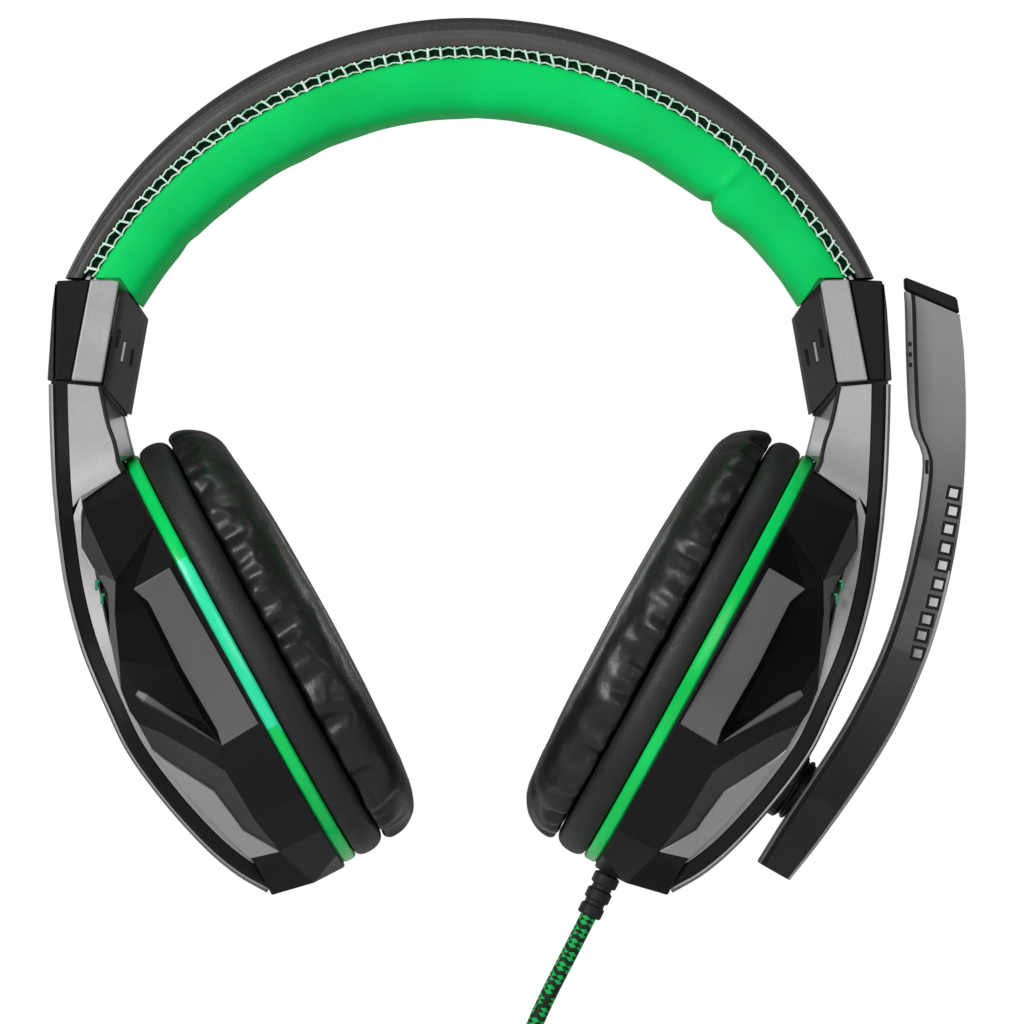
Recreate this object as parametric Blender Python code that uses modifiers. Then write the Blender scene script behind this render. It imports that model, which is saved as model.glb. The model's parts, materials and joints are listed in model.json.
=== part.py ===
"""Over-ear gaming headset: padded headband, sliding arms, oval ear cups, boom microphone and braided cord.

Metres, +Z up. The wearer faces -Y, so the wearer's left ear is at +X. The origin is the middle of the
underside of the headband pad, where a head or a stand holds the headset up. Outlines are written in
millimetres, as (x, z) on the +X side for the end caps, as (up, out) in a cup's own frame for the cups,
and as (along, out) from the pivot for the boom.
"""

import math

import bmesh
import bpy
from mathutils import Matrix, Vector

MM = 0.001
GAP = 0.3 * MM
SIDES = {"left": 1, "right": -1}

# Headband: arcs about one centre, measured from the middle of the pad's underside.
PAD_INNER_R = 79.0 * MM
SEAM_R = 93.6 * MM
BAND_OUTER_R = 101.8 * MM
BAND_HALF_WIDTH = 17.0 * MM
PAD_FLARE = 6.5 * MM
SEAM_FLARE = 5.0 * MM
SPRING_THICKNESS = 0.8 * MM
SPRING_HALF_WIDTH = 11.0 * MM
BAND_END_ANGLE = math.radians(68.0)
SPRING_END_ANGLE = math.radians(71.0)
SPRING_POCKET_EXTRA = 0.01
BAND_STATIONS = 28
# Cross-sections: (share of the half width, share of the layer's thickness), middle last.
COVER_PROFILE = [(1.0, 0.0), (1.04, 0.3), (0.99, 0.62), (0.84, 0.86), (0.5, 0.965), (0.0, 1.0)]
PAD_PROFILE = [(0.97, 0.0), (1.03, 0.12), (1.04, 0.4), (0.97, 0.7), (0.8, 0.9), (0.45, 0.985), (0.0, 1.0)]

# End caps, each with the outline it shows from the front.
CAP_OUTER = [(94.5, -37.5), (86.9, -37.5), (91.3, -60.4), (95.0, -60.4)]
CAP_SIDE = [(94.9, -41.0), (95.6, -44.0), (96.6, -60.4), (95.3, -60.4)]
CAP_FACET = [(86.6, -37.5), (80.0, -37.5), (84.1, -61.0), (91.0, -60.4)]
CAP_SLEEVE = [(79.7, -38.0), (74.1, -46.2), (78.2, -68.2), (83.8, -61.6)]
CAP_ENVELOPE = [(102.0, -37.2), (79.85, -37.2), (73.7, -46.2), (72.5, -75.0), (102.0, -75.0)]
CAP_ENVELOPE_HALF = 30.0 * MM
CAP_OUTER_HALF = 16.5 * MM
CAP_SIDE_HALF = 15.5 * MM
CAP_FACET_HALF = 17.5 * MM
CAP_SLEEVE_HALF = 14.5 * MM
CAP_BEVEL = 0.5 * MM
SCREW_R = 1.6 * MM
SCREW_LENGTH = 4.0 * MM
SCREW_PLACES = {"upper": (77.2, -50.6), "lower": (79.3, -56.4)}
SCREW_TILT = math.radians(10.0)

# Size adjustment: a steel rail on each arm slides down out of the end cap.
RAIL_POINT = (83.0, -63.0)
RAIL_LEAN = math.atan2(0.1, 0.995)
RAIL_HALF_WIDTH = 6.5 * MM
RAIL_THICKNESS = 1.4 * MM
RAIL_ABOVE = 28.5 * MM
RAIL_BELOW = 14.0 * MM
RAIL_SLOT_CLEARANCE = 0.3 * MM

# Ear cups: the centre of the green ring, and how far its axis points down.
CUP_CENTRE = (52.7, -124.3)
CUP_TILT = math.radians(28.65)
RING_HALF_HEIGHT = 52.6 * MM
RING_HALF_WIDTH = 42.4 * MM
HOUSING_HALF_HEIGHT = 53.8 * MM
HOUSING_HALF_WIDTH = 43.2 * MM
OVAL_POWER = 2.25
OVAL_STATIONS = 40
# Turned round the oval: (inset from the outline, out along the cup's axis).
RING_PROFILE = [(0.0, -1.55), (0.0, 1.55), (4.0, 1.55), (4.0, -1.55)]
SKIRT_PROFILE = [(0.2, -1.85), (3.8, -1.85), (4.2, -9.2), (1.6, -9.2), (0.3, -8.0), (0.0, -5.5)]
CUSHION_INSET = 1.7
CUSHION_PROFILE = [
    (1.2, -9.6), (0.0, -11.8), (0.0, -17.0), (2.0, -21.4), (5.6, -23.5), (9.5, -24.0),
    (14.5, -24.0), (18.5, -22.4), (20.6, -18.0), (20.2, -12.5), (18.5, -9.6),
]
BAFFLE_INSET = 4.9
BAFFLE_OUT = (-8.2, -6.4)
MESH_INSET = 6.2
MESH_OUT = (-9.2, -8.5)
DRIVER_HOLE_R = 20.4 * MM
DRIVER_HOLE_LENGTH = 6.0 * MM
# Radius and out along the axis, from the ear side to the magnet.
DRIVER_PROFILE = [(0.0, -8.2), (20.0, -8.2), (20.0, -5.6), (12.0, -5.2), (12.0, 2.0), (0.0, 2.0)]

# The outer contour of a cup: up, out, half depth, and how deep the arm frame lies under it.
CONTOUR = [
    (76.3, 8.4, 15.5, 0.0), (70.0, 11.7, 15.6, 0.0), (62.0, 15.7, 16.2, 0.0), (55.5, 18.8, 17.4, 0.0),
    (50.6, 20.9, 18.6, 0.0), (46.1, 22.8, 20.0, 7.2), (33.0, 27.5, 25.0, 8.4), (19.0, 30.8, 28.5, 7.8),
    (4.2, 32.3, 29.5, 7.0), (-7.2, 32.8, 28.5, 7.0), (-21.0, 31.0, 25.0, 8.0), (-34.0, 28.0, 20.0, 8.4),
    (-43.0, 24.6, 15.5, 7.8), (-50.1, 20.4, 11.0, 7.0),
]
SKIN_THICKNESS = 1.3 * MM
PLATE_DEPTHS = (1.6 * MM, 4.4 * MM)
FRAME_DEPTH = 4.7 * MM
# The solid part of the arm: smoothed contour row, seam and inner edge, each as (up, out, half depth).
ARM = [
    (0, (70.0, -1.9, 15.0), (69.6, -2.1, 13.0)),
    (2, (62.3, 0.4, 16.0), (61.9, -3.2, 11.0)),
    (4, (57.5, 1.2, 16.8), (56.5, -1.7, 10.5)),
    (6, (54.0, 2.2, 17.5), (53.3, -0.7, 11.0)),
    (7, (53.4, 2.6, 17.8), (53.0, 1.95, 12.0)),
    (8, (50.4, 2.8, 18.0), (49.9, 2.3, 14.0)),
    (9, (50.1, 13.9, 19.0), (49.6, 13.6, 18.0)),
]

# Housing facets: height on the ring, then shoulder and crest as (up, out, half depth).
HOUSING = [
    (49.0, (49.0, 8.0, 19.6), (49.0, 12.6, 17.4)),
    (44.0, (44.0, 10.0, 26.3), (44.5, 14.2, 21.0)),
    (36.0, (36.0, 11.5, 32.5), (37.5, 16.8, 24.5)),
    (26.0, (25.6, 13.0, 36.5), (28.0, 18.6, 27.5)),
    (14.0, (14.0, 13.0, 39.0), (16.0, 22.0, 30.0)),
    (0.0, (0.0, 13.0, 40.2), (4.0, 24.4, 31.0)),
    (-15.0, (-15.3, 13.3, 38.6), (-8.0, 25.0, 30.0)),
    (-26.0, (-24.7, 15.0, 34.5), (-19.0, 22.2, 26.5)),
    (-36.0, (-34.2, 14.5, 28.5), (-31.0, 18.6, 21.5)),
    (-45.0, (-42.6, 12.0, 22.0), (-42.0, 15.4, 16.6)),
    (-47.0, (-46.5, 11.0, 18.5), (-46.9, 13.2, 14.0)),
    (-50.0, (-50.0, 10.0, 15.0), (-50.7, 18.2, 10.5)),
    (-53.0, (-53.3, 5.5, 8.6), (-53.3, 9.8, 8.0)),
]
HOUSING_BASE = 1.85
HOUSING_WALL = 2.0

LED_PLACE = (27.5, 20.6)
LED_Y = 27.6 * MM
LED_SIZE = (7.0 * MM, 1.4 * MM, 1.2 * MM)
LED_BOARD_PLACE = (23.0, 9.0)
LED_BOARD_Y = 23.0 * MM
LED_BOARD_SIZE = (18.0 * MM, 1.2 * MM, 9.0 * MM)

# Boom microphone, on the left cup. Its axis leans a little more than the cup's.
MIC_PIVOT = (73.9, -153.6)
MIC_TILT = math.radians(31.8)
# Radius and out along the pivot's axis.
SOCKET_PROFILE = [(3.0, -0.3), (8.3, -0.3), (8.3, 0.4), (7.6, 0.9), (3.0, 0.9)]
PIVOT_PROFILE = [(0.0, -6.4), (2.4, -6.4), (2.4, 1.2), (7.5, 1.2), (7.5, 2.2), (0.0, 2.2)]
PIVOT_BORE_R = 3.0 * MM
PIVOT_BORE_LENGTH = 24.0 * MM
BOOM_HALF_DEPTH = 6.5 * MM
BOOM_SEAM = 1.8
# Along the boom from the pivot, and out along the axis.
BOOM_OUTER = [
    (109.4, -22.0), (106.0, -19.3), (97.4, -13.4), (88.0, -7.6), (79.6, -2.9), (70.2, 1.6), (57.0, 6.6),
    (43.2, 10.5), (28.5, 12.8), (16.7, 13.4), (4.2, 13.0), (-8.6, 12.1), (-18.6, 10.9),
]
BOOM_INNER = [
    (-18.9, 2.6), (-6.5, 2.6), (11.1, 3.1), (22.3, 2.9), (37.5, 1.3), (51.7, -2.1), (65.0, -6.8),
    (71.5, -9.5), (80.6, -14.3), (85.4, -20.6), (96.3, -28.4), (107.3, -35.6),
]
BOOM_TIP = [(107.6, -35.8), (109.7, -22.2), (115.3, -26.9), (113.1, -39.6)]
CAPSULE_PLACE = (101.0, -29.0)
CAPSULE_R = 3.0 * MM
CAPSULE_LENGTH = 5.0 * MM

# Cord: the strain relief at the foot of the left cup, the free cord and what is on its far end.
CORD_DIAMETER = 3.8 * MM
CORD_SIDES = 2
# Distance along the relief and its radius: blocks with grooves between them.
RELIEF_START = (33.4, -170.6)
RELIEF_END = (27.7, -182.6)
RELIEF_BLOCKS = 4
RELIEF_SIDES = 12
RELIEF_RADII = (3.1 * MM, 2.8 * MM)
RELIEF_BORE_R = 3.4 * MM
RELIEF_BORE_LENGTH = 20.0 * MM
RELIEF_GROOVE_R = 2.3 * MM
# The lead comes down into the hank, and the tail leaves it to the plug.
CORD_ROUTE = [
    (27.6, 0.0, -182.9), (23.2, 0.0, -191.6), (17.4, -0.4, -203.0), (12.7, -1.2, -213.8), (9.9, -1.9, -222.0),
]
TAIL_ROUTE = [(9.2, 1.9, -312.8), (9.3, 1.6, -320.0), (9.6, 0.8, -327.5), (10.0, 0.0, -334.6)]
ROUTE_STEPS = 2
# The hank holds two layers of turns side by side, about 1.6 m of cord.
HANK_CENTRE = (32.0 * MM, -268.0 * MM)
HANK_RUN = 60.0 * MM
HANK_OUTER_R = 24.9 * MM
HANK_DEPTH = 8.0 * MM
HANK_ARC_STEPS = 12
TIE_HEIGHT = 12.0 * MM
TIE_THICKNESS = 1.2 * MM
PLUG_TOP = (10.0 * MM, -334.9 * MM)
PLUG_GRIP = (15.6 * MM, 8.4 * MM, 30.0 * MM)
PLUG_SHELL = (12.0 * MM, 4.5 * MM, 12.0 * MM)
PLUG_MOUTH = (11.0 * MM, 1.9 * MM, 9.0 * MM)

BLACK = (0.012, 0.012, 0.013, 1.0)
GREEN = (0.0, 0.56, 0.11, 1.0)
SILVER = (0.42, 0.42, 0.43, 1.0)
LEATHER = (0.020, 0.019, 0.019, 1.0)
BROWN_LEATHER = (0.055, 0.048, 0.045, 1.0)
BOOM_GREY = (0.10, 0.10, 0.105, 1.0)
STEEL = (0.60, 0.61, 0.62, 1.0)


def clear_scene():
    for item in list(bpy.data.objects):
        bpy.data.objects.remove(item)


def new_collection(name):
    collection = bpy.data.collections.new(name)
    bpy.context.scene.collection.children.link(collection)
    return collection


clear_scene()
PARTS = new_collection("gaming_headset")
CUTTERS = new_collection("cutters")


def finish(name, colour, roughness, metallic=0.0):
    material = bpy.data.materials.new(name)
    material.use_nodes = True
    shader = material.node_tree.nodes["Principled BSDF"]
    shader.inputs["Base Color"].default_value = colour
    shader.inputs["Roughness"].default_value = roughness
    shader.inputs["Metallic"].default_value = metallic
    return material


# ---- Frames -------------------------------------------------------------------------------------


def empty_at(name, matrix, parent=None):
    empty = bpy.data.objects.new(name, None)
    PARTS.objects.link(empty)
    if parent:
        empty.parent = parent
        empty.matrix_parent_inverse = parent.matrix_world.inverted()
    empty.matrix_world = matrix
    bpy.context.view_layer.update()
    return empty


def frame_matrix(origin, x_axis, z_axis):
    """A right-handed frame from its origin and two of its axes."""
    y_axis = z_axis.cross(x_axis)
    rotation = Matrix((x_axis, y_axis, z_axis)).transposed()
    return Matrix.Translation(origin) @ rotation.to_4x4()


def tilted_frame(side, place, tilt):
    """The frame of a cup or the boom: x up along it, z out along its axis."""
    sign = SIDES[side]
    origin = Vector((sign * place[0] * MM, 0.0, place[1] * MM))
    up = Vector((sign * math.sin(tilt), 0.0, math.cos(tilt)))
    out = Vector((sign * math.cos(tilt), 0.0, -math.sin(tilt)))
    return frame_matrix(origin, up, out)


def rail_frame(side):
    """The size rail's frame: x across its thickness, z down along it."""
    sign = SIDES[side]
    origin = Vector((sign * RAIL_POINT[0] * MM, 0.0, RAIL_POINT[1] * MM))
    down = Vector((sign * math.sin(RAIL_LEAN), 0.0, -math.cos(RAIL_LEAN)))
    across = Vector((sign * math.cos(RAIL_LEAN), 0.0, math.sin(RAIL_LEAN)))
    return frame_matrix(origin, across, down)


# ---- Mesh helpers -------------------------------------------------------------------------------


def add(name, mesh, material, parent=None):
    """An object that lies in its parent's frame."""
    thing = bpy.data.objects.new(name, mesh)
    PARTS.objects.link(thing)
    thing.parent = parent
    mesh.materials.append(material)
    mesh.shade_smooth()
    mesh.set_sharp_from_angle(angle=math.radians(35.0))
    return thing


def add_cutter(name, mesh, matrix=None):
    cutter = bpy.data.objects.new(name, mesh)
    CUTTERS.objects.link(cutter)
    cutter.matrix_world = matrix or Matrix.Identity(4)
    cutter.hide_render = True
    cutter.display_type = "WIRE"
    return cutter


def cut(thing, *cutters):
    for cutter in cutters:
        boolean = thing.modifiers.new("cut_" + cutter.name, "BOOLEAN")
        boolean.operation = "DIFFERENCE"
        boolean.solver = "EXACT"
        boolean.object = cutter


def bevel(thing, width, angle=30.0):
    modifier = thing.modifiers.new("edges", "BEVEL")
    modifier.width = width
    modifier.segments = 1
    modifier.limit_method = "ANGLE"
    modifier.angle_limit = math.radians(angle)


def mesh_from(bm, name):
    bmesh.ops.recalc_face_normals(bm, faces=bm.faces)
    mesh = bpy.data.meshes.new(name)
    bm.to_mesh(mesh)
    bm.free()
    return mesh


def loft(name, sections, closed=False):
    """A skin through sections with equal numbers of points, capped at its ends unless it closes on itself."""
    bm = bmesh.new()
    rings = [[bm.verts.new(point) for point in section] for section in sections]
    spans = list(zip(rings, rings[1:]))
    if closed:
        spans.append((rings[-1], rings[0]))
    for first, second in spans:
        for i in range(len(first)):
            j = (i + 1) % len(first)
            bm.faces.new((first[i], first[j], second[j], second[i]))
    if not closed:
        bm.faces.new(rings[0])
        bm.faces.new(rings[-1])
    return mesh_from(bm, name)


def box(name, size, centre=(0.0, 0.0, 0.0)):
    bm = bmesh.new()
    bmesh.ops.create_cube(bm, size=1.0)
    bmesh.ops.scale(bm, vec=size, verts=bm.verts)
    bmesh.ops.translate(bm, vec=centre, verts=bm.verts)
    return mesh_from(bm, name)


def cylinder(name, radius, length, matrix=None, segments=24):
    bm = bmesh.new()
    bmesh.ops.create_cone(
        bm, cap_ends=True, segments=segments, radius1=radius, radius2=radius, depth=length,
        matrix=matrix or Matrix.Identity(4),
    )
    return mesh_from(bm, name)


def turned(name, profile, steps=32):
    """A profile of (radius, height) in millimetres, turned about z. It closes if it starts off the axis."""
    points = [Vector((radius * MM, 0.0, height * MM)) for radius, height in profile]
    sections = []
    for step in range(steps):
        turn = Matrix.Rotation(2 * math.pi * step / steps, 4, "Z")
        sections.append([turn @ point for point in points])
    mesh = loft(name, sections, closed=True)
    bm = bmesh.new()
    bm.from_mesh(mesh)
    if profile[0][0] > 0.0:
        return mesh_from(bm, name)
    bmesh.ops.remove_doubles(bm, verts=bm.verts, dist=1e-6)
    bmesh.ops.dissolve_degenerate(bm, edges=bm.edges, dist=1e-6)
    loose = [face for face in bm.faces if face.calc_area() < 1e-12]
    bmesh.ops.delete(bm, geom=loose, context="FACES")
    axis = [edge for edge in bm.edges if all(v.co.x ** 2 + v.co.y ** 2 < 1e-12 for v in edge.verts)]
    bmesh.ops.delete(bm, geom=axis, context="EDGES")
    return mesh_from(bm, name)


def outline_plate(name, outline, half_depth, sign=1):
    """A flat outline of (x, z) in millimetres, as thick as twice half_depth along Y."""
    curve = bpy.data.curves.new(name, "CURVE")
    curve.dimensions = "2D"
    curve.fill_mode = "BOTH"
    curve.extrude = half_depth
    spline = curve.splines.new("POLY")
    spline.points.add(len(outline) - 1)
    for point, (x, z) in zip(spline.points, outline):
        point.co = (sign * x * MM, z * MM, 0.0, 1.0)
    spline.use_cyclic_u = True
    holder = bpy.data.objects.new(name + "_curve", curve)
    CUTTERS.objects.link(holder)
    holder.rotation_euler = (math.pi / 2, 0.0, 0.0)
    bpy.context.view_layer.update()
    solid = holder.evaluated_get(bpy.context.evaluated_depsgraph_get())
    mesh = bpy.data.meshes.new_from_object(solid)
    mesh.transform(holder.matrix_world)
    bpy.data.objects.remove(holder)
    bm = bmesh.new()
    bm.from_mesh(mesh)
    bmesh.ops.remove_doubles(bm, verts=bm.verts, dist=1e-6)
    return mesh_from(bm, name)


def smooth(points, steps):
    """More points on a Catmull-Rom curve through points, which may have any number of values."""
    ends = [tuple(2 * a - b for a, b in zip(points[0], points[1]))]
    ends += [tuple(point) for point in points]
    ends.append(tuple(2 * a - b for a, b in zip(points[-1], points[-2])))
    found = []
    for i in range(1, len(ends) - 2):
        for step in range(steps):
            t = step / steps
            weights = (
                -0.5 * t + t ** 2 - 0.5 * t ** 3,
                1 - 2.5 * t ** 2 + 1.5 * t ** 3,
                0.5 * t + 2 * t ** 2 - 1.5 * t ** 3,
                -0.5 * t ** 2 + 0.5 * t ** 3,
            )
            found.append(tuple(
                sum(w * ends[i - 1 + k][axis] for k, w in enumerate(weights)) for axis in range(len(ends[0]))
            ))
    found.append(tuple(points[-1]))
    return found


def tube(name, route, material, parent):
    """A round cord through smoothed route points, in metres."""
    curve = bpy.data.curves.new(name, "CURVE")
    curve.dimensions = "3D"
    curve.bevel_depth = CORD_DIAMETER / 2
    curve.bevel_resolution = CORD_SIDES
    curve.use_fill_caps = True
    curve.render_resolution_u = 0
    spline = curve.splines.new("POLY")
    spline.points.add(len(route) - 1)
    for point, place in zip(spline.points, route):
        point.co = (*(value * MM for value in place), 1.0)
    curve.materials.append(material)
    thing = bpy.data.objects.new(name, curve)
    PARTS.objects.link(thing)
    thing.parent = parent
    thing.matrix_parent_inverse = parent.matrix_world.inverted()
    return thing


# ---- Headband -----------------------------------------------------------------------------------


def flare(angle):
    """How far the layers have moved outwards at this angle from the top, from 0 to 1."""
    return math.sin(angle) ** 4


def band_point(angle, radius, y):
    return Vector((radius * math.sin(angle), y, radius * math.cos(angle) - PAD_INNER_R))


def band_layer(name, end_angle, section):
    """section(angle) gives (y, radius) pairs."""
    sections = []
    for i in range(BAND_STATIONS + 1):
        angle = end_angle * (2 * i / BAND_STATIONS - 1)
        sections.append([band_point(angle, radius, y) for y, radius in section(angle)])
    return loft(name, sections)


def mirrored_profile(profile, near, far, half_width):
    """Both halves of a cross-section between two radii, starting and ending on the near one."""
    half = [(half_width * wide, near + (far - near) * deep) for wide, deep in profile]
    return half + [(-y, radius) for y, radius in reversed(half[:-1])]


def cover_section(angle):
    near = SEAM_R + SEAM_FLARE * flare(angle) + 0.8 * MM
    return mirrored_profile(COVER_PROFILE, near, BAND_OUTER_R, BAND_HALF_WIDTH)


def pad_section(angle):
    near = SEAM_R + SEAM_FLARE * flare(angle) - 0.6 * MM
    return mirrored_profile(PAD_PROFILE, near, PAD_INNER_R + PAD_FLARE * flare(angle), BAND_HALF_WIDTH)


def strip_section(extra):
    def section(angle):
        middle = SEAM_R + SEAM_FLARE * flare(angle) + 0.1 * MM
        half = SPRING_THICKNESS / 2 + extra
        wide = SPRING_HALF_WIDTH + extra
        return [(-wide, middle - half), (wide, middle - half), (wide, middle + half), (-wide, middle + half)]

    return section


def build_headband(leather, green, steel):
    envelopes = []
    for side, sign in SIDES.items():
        mesh = outline_plate("cap_envelope", CAP_ENVELOPE, CAP_ENVELOPE_HALF, sign)
        envelopes.append(add_cutter("cap_envelope_" + side, mesh))
    cover = add("headband_cover", band_layer("headband_cover", BAND_END_ANGLE, cover_section), leather)
    cut(cover, *envelopes)
    pad = add("headband_pad", band_layer("headband_pad", BAND_END_ANGLE, pad_section), green)
    cut(pad, *envelopes, RAIL_SLOTS["left"], RAIL_SLOTS["right"])
    add("headband_spring", band_layer("headband_spring", SPRING_END_ANGLE, strip_section(0.0)), steel)


def build_end_caps(side, black, silver, steel):
    sign = SIDES[side]
    outer = add("end_cap_outer_" + side, outline_plate("cap_outer", CAP_OUTER, CAP_OUTER_HALF, sign), black)
    bevel(outer, CAP_BEVEL)
    cut(outer, SPRING_POCKET)
    add("end_cap_side_" + side, outline_plate("cap_side", CAP_SIDE, CAP_SIDE_HALF, sign), silver)
    facet = add("end_cap_facet_" + side, outline_plate("cap_facet", CAP_FACET, CAP_FACET_HALF, sign), silver)
    bevel(facet, CAP_BEVEL)
    cut(facet, RAIL_SLOTS[side], SPRING_POCKET)
    sleeve_mesh = outline_plate("cap_sleeve", CAP_SLEEVE, CAP_SLEEVE_HALF, sign)
    sleeve = add("end_cap_sleeve_" + side, sleeve_mesh, black)
    bevel(sleeve, CAP_BEVEL)
    cut(sleeve, RAIL_SLOTS[side])
    for place, (x, z) in SCREW_PLACES.items():
        build_cap_screw(side, place, x, z, sleeve, steel)


def build_cap_screw(side, place, x, z, sleeve, steel):
    """A countersunk screw in the inner face of the sleeve, pointing outwards into the cap."""
    sign = SIDES[side]
    turn = Matrix.Rotation(sign * (math.pi / 2 - SCREW_TILT), 4, "Y")
    spot = Matrix.Translation(Vector((sign * x * MM, 0.0, z * MM))) @ turn
    name = "cap_screw_" + side + "_" + place
    hole = cylinder(name + "_hole", SCREW_R + 2 * GAP, 2 * SCREW_LENGTH, segments=16)
    cut(sleeve, add_cutter(name + "_hole", hole, spot))
    screw = add(name, cylinder(name, SCREW_R, SCREW_LENGTH * 0.5, segments=16), steel)
    screw.matrix_world = spot


# ---- Arms ---------------------------------------------------------------------------------------


def contour_rows():
    """Rows of (up, out, half depth, frame depth, inward direction) down the outer contour, in metres."""
    rows = smooth(CONTOUR, 2)
    found = []
    for i, row in enumerate(rows):
        before = rows[max(i - 1, 0)]
        after = rows[min(i + 1, len(rows) - 1)]
        tangent = Vector((after[0] - before[0], after[1] - before[1])).normalized()
        inward = Vector((-tangent.y, tangent.x))
        found.append((Vector((row[0], row[1])) * MM, row[2] * MM, row[3] * MM, inward))
    return found


def across(point, half):
    """The two points of a cup-frame place at plus and minus a half depth."""
    return Vector((point.x, half, point.y)), Vector((point.x, -half, point.y))


def plate_sections(rows, near, far):
    sections = []
    for point, half, _, inward in rows:
        outer = across(point + inward * near, half)
        inner = across(point + inward * far, half)
        sections.append([outer[0], outer[1], inner[1], inner[0]])
    return sections


def skin_sections(rows):
    """The thin outer skin, crowned across its width."""
    sections = []
    for point, half, _, inward in rows:
        edge = across(point + inward * SKIN_THICKNESS * 0.65, half)
        shoulder = across(point + inward * SKIN_THICKNESS * 0.2, half * 0.55)
        inner = across(point + inward * SKIN_THICKNESS, half)
        sections.append([edge[0], shoulder[0], shoulder[1], edge[1], inner[1], inner[0]])
    return sections


def frame_sections(rows):
    """The arm's solid upper part, then the frame layer that follows the contour under the back plate."""
    sections = []
    for row, seam_place, inner_place in ARM:
        point, half, _, inward = rows[row]
        outer = across(point + inward * FRAME_DEPTH, half)
        seam = across(Vector(seam_place[:2]) * MM, seam_place[2] * MM)
        inner = across(Vector(inner_place[:2]) * MM, inner_place[2] * MM)
        sections.append([outer[0], seam[0], inner[0], inner[1], seam[1], outer[1]])
    for point, half, depth, inward in rows[ARM[-1][0] + 1:]:
        outer = across(point + inward * FRAME_DEPTH, half)
        seam = across(point + inward * (depth - 0.4 * MM), half + 1.4 * MM)
        inner = across(point + inward * depth, half)
        sections.append([outer[0], seam[0], inner[0], inner[1], seam[1], outer[1]])
    return sections


def build_arm(side, cup, slide, black, silver, steel, bores):
    rows = contour_rows()
    frame = add("arm_frame_" + side, loft("arm_frame", frame_sections(rows)), silver, cup)
    cut(frame, RAIL_SLOTS[side], LED_POCKETS[side], *bores)
    plate = add("back_plate_" + side, loft("back_plate", plate_sections(rows, *PLATE_DEPTHS)), black, cup)
    cut(plate, *bores)
    skin = add("side_skin_" + side, loft("side_skin", skin_sections(rows)), silver, cup)
    cut(skin, *bores)
    size = (RAIL_THICKNESS, 2 * RAIL_HALF_WIDTH, RAIL_ABOVE + RAIL_BELOW)
    rail_mesh = box("size_rail", size, (0.0, 0.0, (RAIL_BELOW - RAIL_ABOVE) / 2))
    rail = add("size_rail_" + side, rail_mesh, steel, slide)
    bevel(rail, 0.3 * MM)


def rail_slot(side):
    size = [RAIL_THICKNESS, 2 * RAIL_HALF_WIDTH, RAIL_ABOVE + RAIL_BELOW]
    size = [value + 2 * RAIL_SLOT_CLEARANCE for value in size]
    mesh = box("rail_slot", size, (0.0, 0.0, (RAIL_BELOW - RAIL_ABOVE) / 2))
    return add_cutter("rail_slot_" + side, mesh, rail_frame(side))


# ---- Ear cups -----------------------------------------------------------------------------------


def oval(half_height, half_width, stations=OVAL_STATIONS):
    """Points (up, y) and outward directions round a slightly squared oval."""
    found = []
    power = 2.0 / OVAL_POWER
    for i in range(stations):
        angle = 2 * math.pi * i / stations
        c, s = math.cos(angle), math.sin(angle)
        point = Vector((
            half_height * math.copysign(abs(c) ** power, c), half_width * math.copysign(abs(s) ** power, s)
        ))
        found.append(point)
    outward = []
    for i, point in enumerate(found):
        tangent = (found[(i + 1) % stations] - found[i - 1]).normalized()
        outward.append(Vector((tangent.y, -tangent.x)))
    return list(zip(found, outward))


def oval_ring(name, profile, half_height, half_width, inset=0.0):
    sections = []
    for point, outward in oval(half_height, half_width):
        places = [(point - outward * (depth + inset) * MM, out * MM) for depth, out in profile]
        sections.append([Vector((place.x, place.y, out)) for place, out in places])
    return loft(name, sections, closed=True)


def oval_disc(name, inset, levels):
    sections = []
    for out in levels:
        section = []
        for point, outward in oval(RING_HALF_HEIGHT, RING_HALF_WIDTH):
            place = point - outward * inset * MM
            section.append(Vector((place.x, place.y, out * MM)))
        sections.append(section)
    return loft(name, sections)


def oval_half_depth(up, half_height, half_width):
    """Half the width of the housing's oval at a height along it."""
    share = min(abs(up) / half_height, 1.0) ** OVAL_POWER
    return half_width * (1 - share) ** (1 / OVAL_POWER)


def housing_section(ring_up, shoulder, crest, base, wall):
    """Ring edge, shoulder and crest on both sides, moved inwards by a wall thickness."""
    depth = oval_half_depth(ring_up * MM, HOUSING_HALF_HEIGHT, HOUSING_HALF_WIDTH) - wall * MM
    places = [
        (ring_up, base, depth / MM),
        (shoulder[0], shoulder[1] - wall / 2, shoulder[2] - wall),
        (crest[0], crest[1] - wall, crest[2] - wall / 2),
    ]
    front = [Vector((up * MM, half * MM, out * MM)) for up, out, half in places]
    back = [Vector((point.x, -point.y, point.z)) for point in reversed(front)]
    return front + back


def build_housing(side, cup, black, bores):
    outer = [housing_section(*row, HOUSING_BASE, 0.0) for row in HOUSING]
    housing = add("cup_housing_" + side, loft("cup_housing", outer), black, cup)
    inner = [housing_section(*row, -1.0, HOUSING_WALL) for row in HOUSING[1:-3]]
    cavity = add_cutter("cup_cavity_" + side, loft("cup_cavity", inner), cup.matrix_world)
    cut(housing, cavity, *bores)
    if side == "left":
        cut(housing, RELIEF_BORE)


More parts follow.
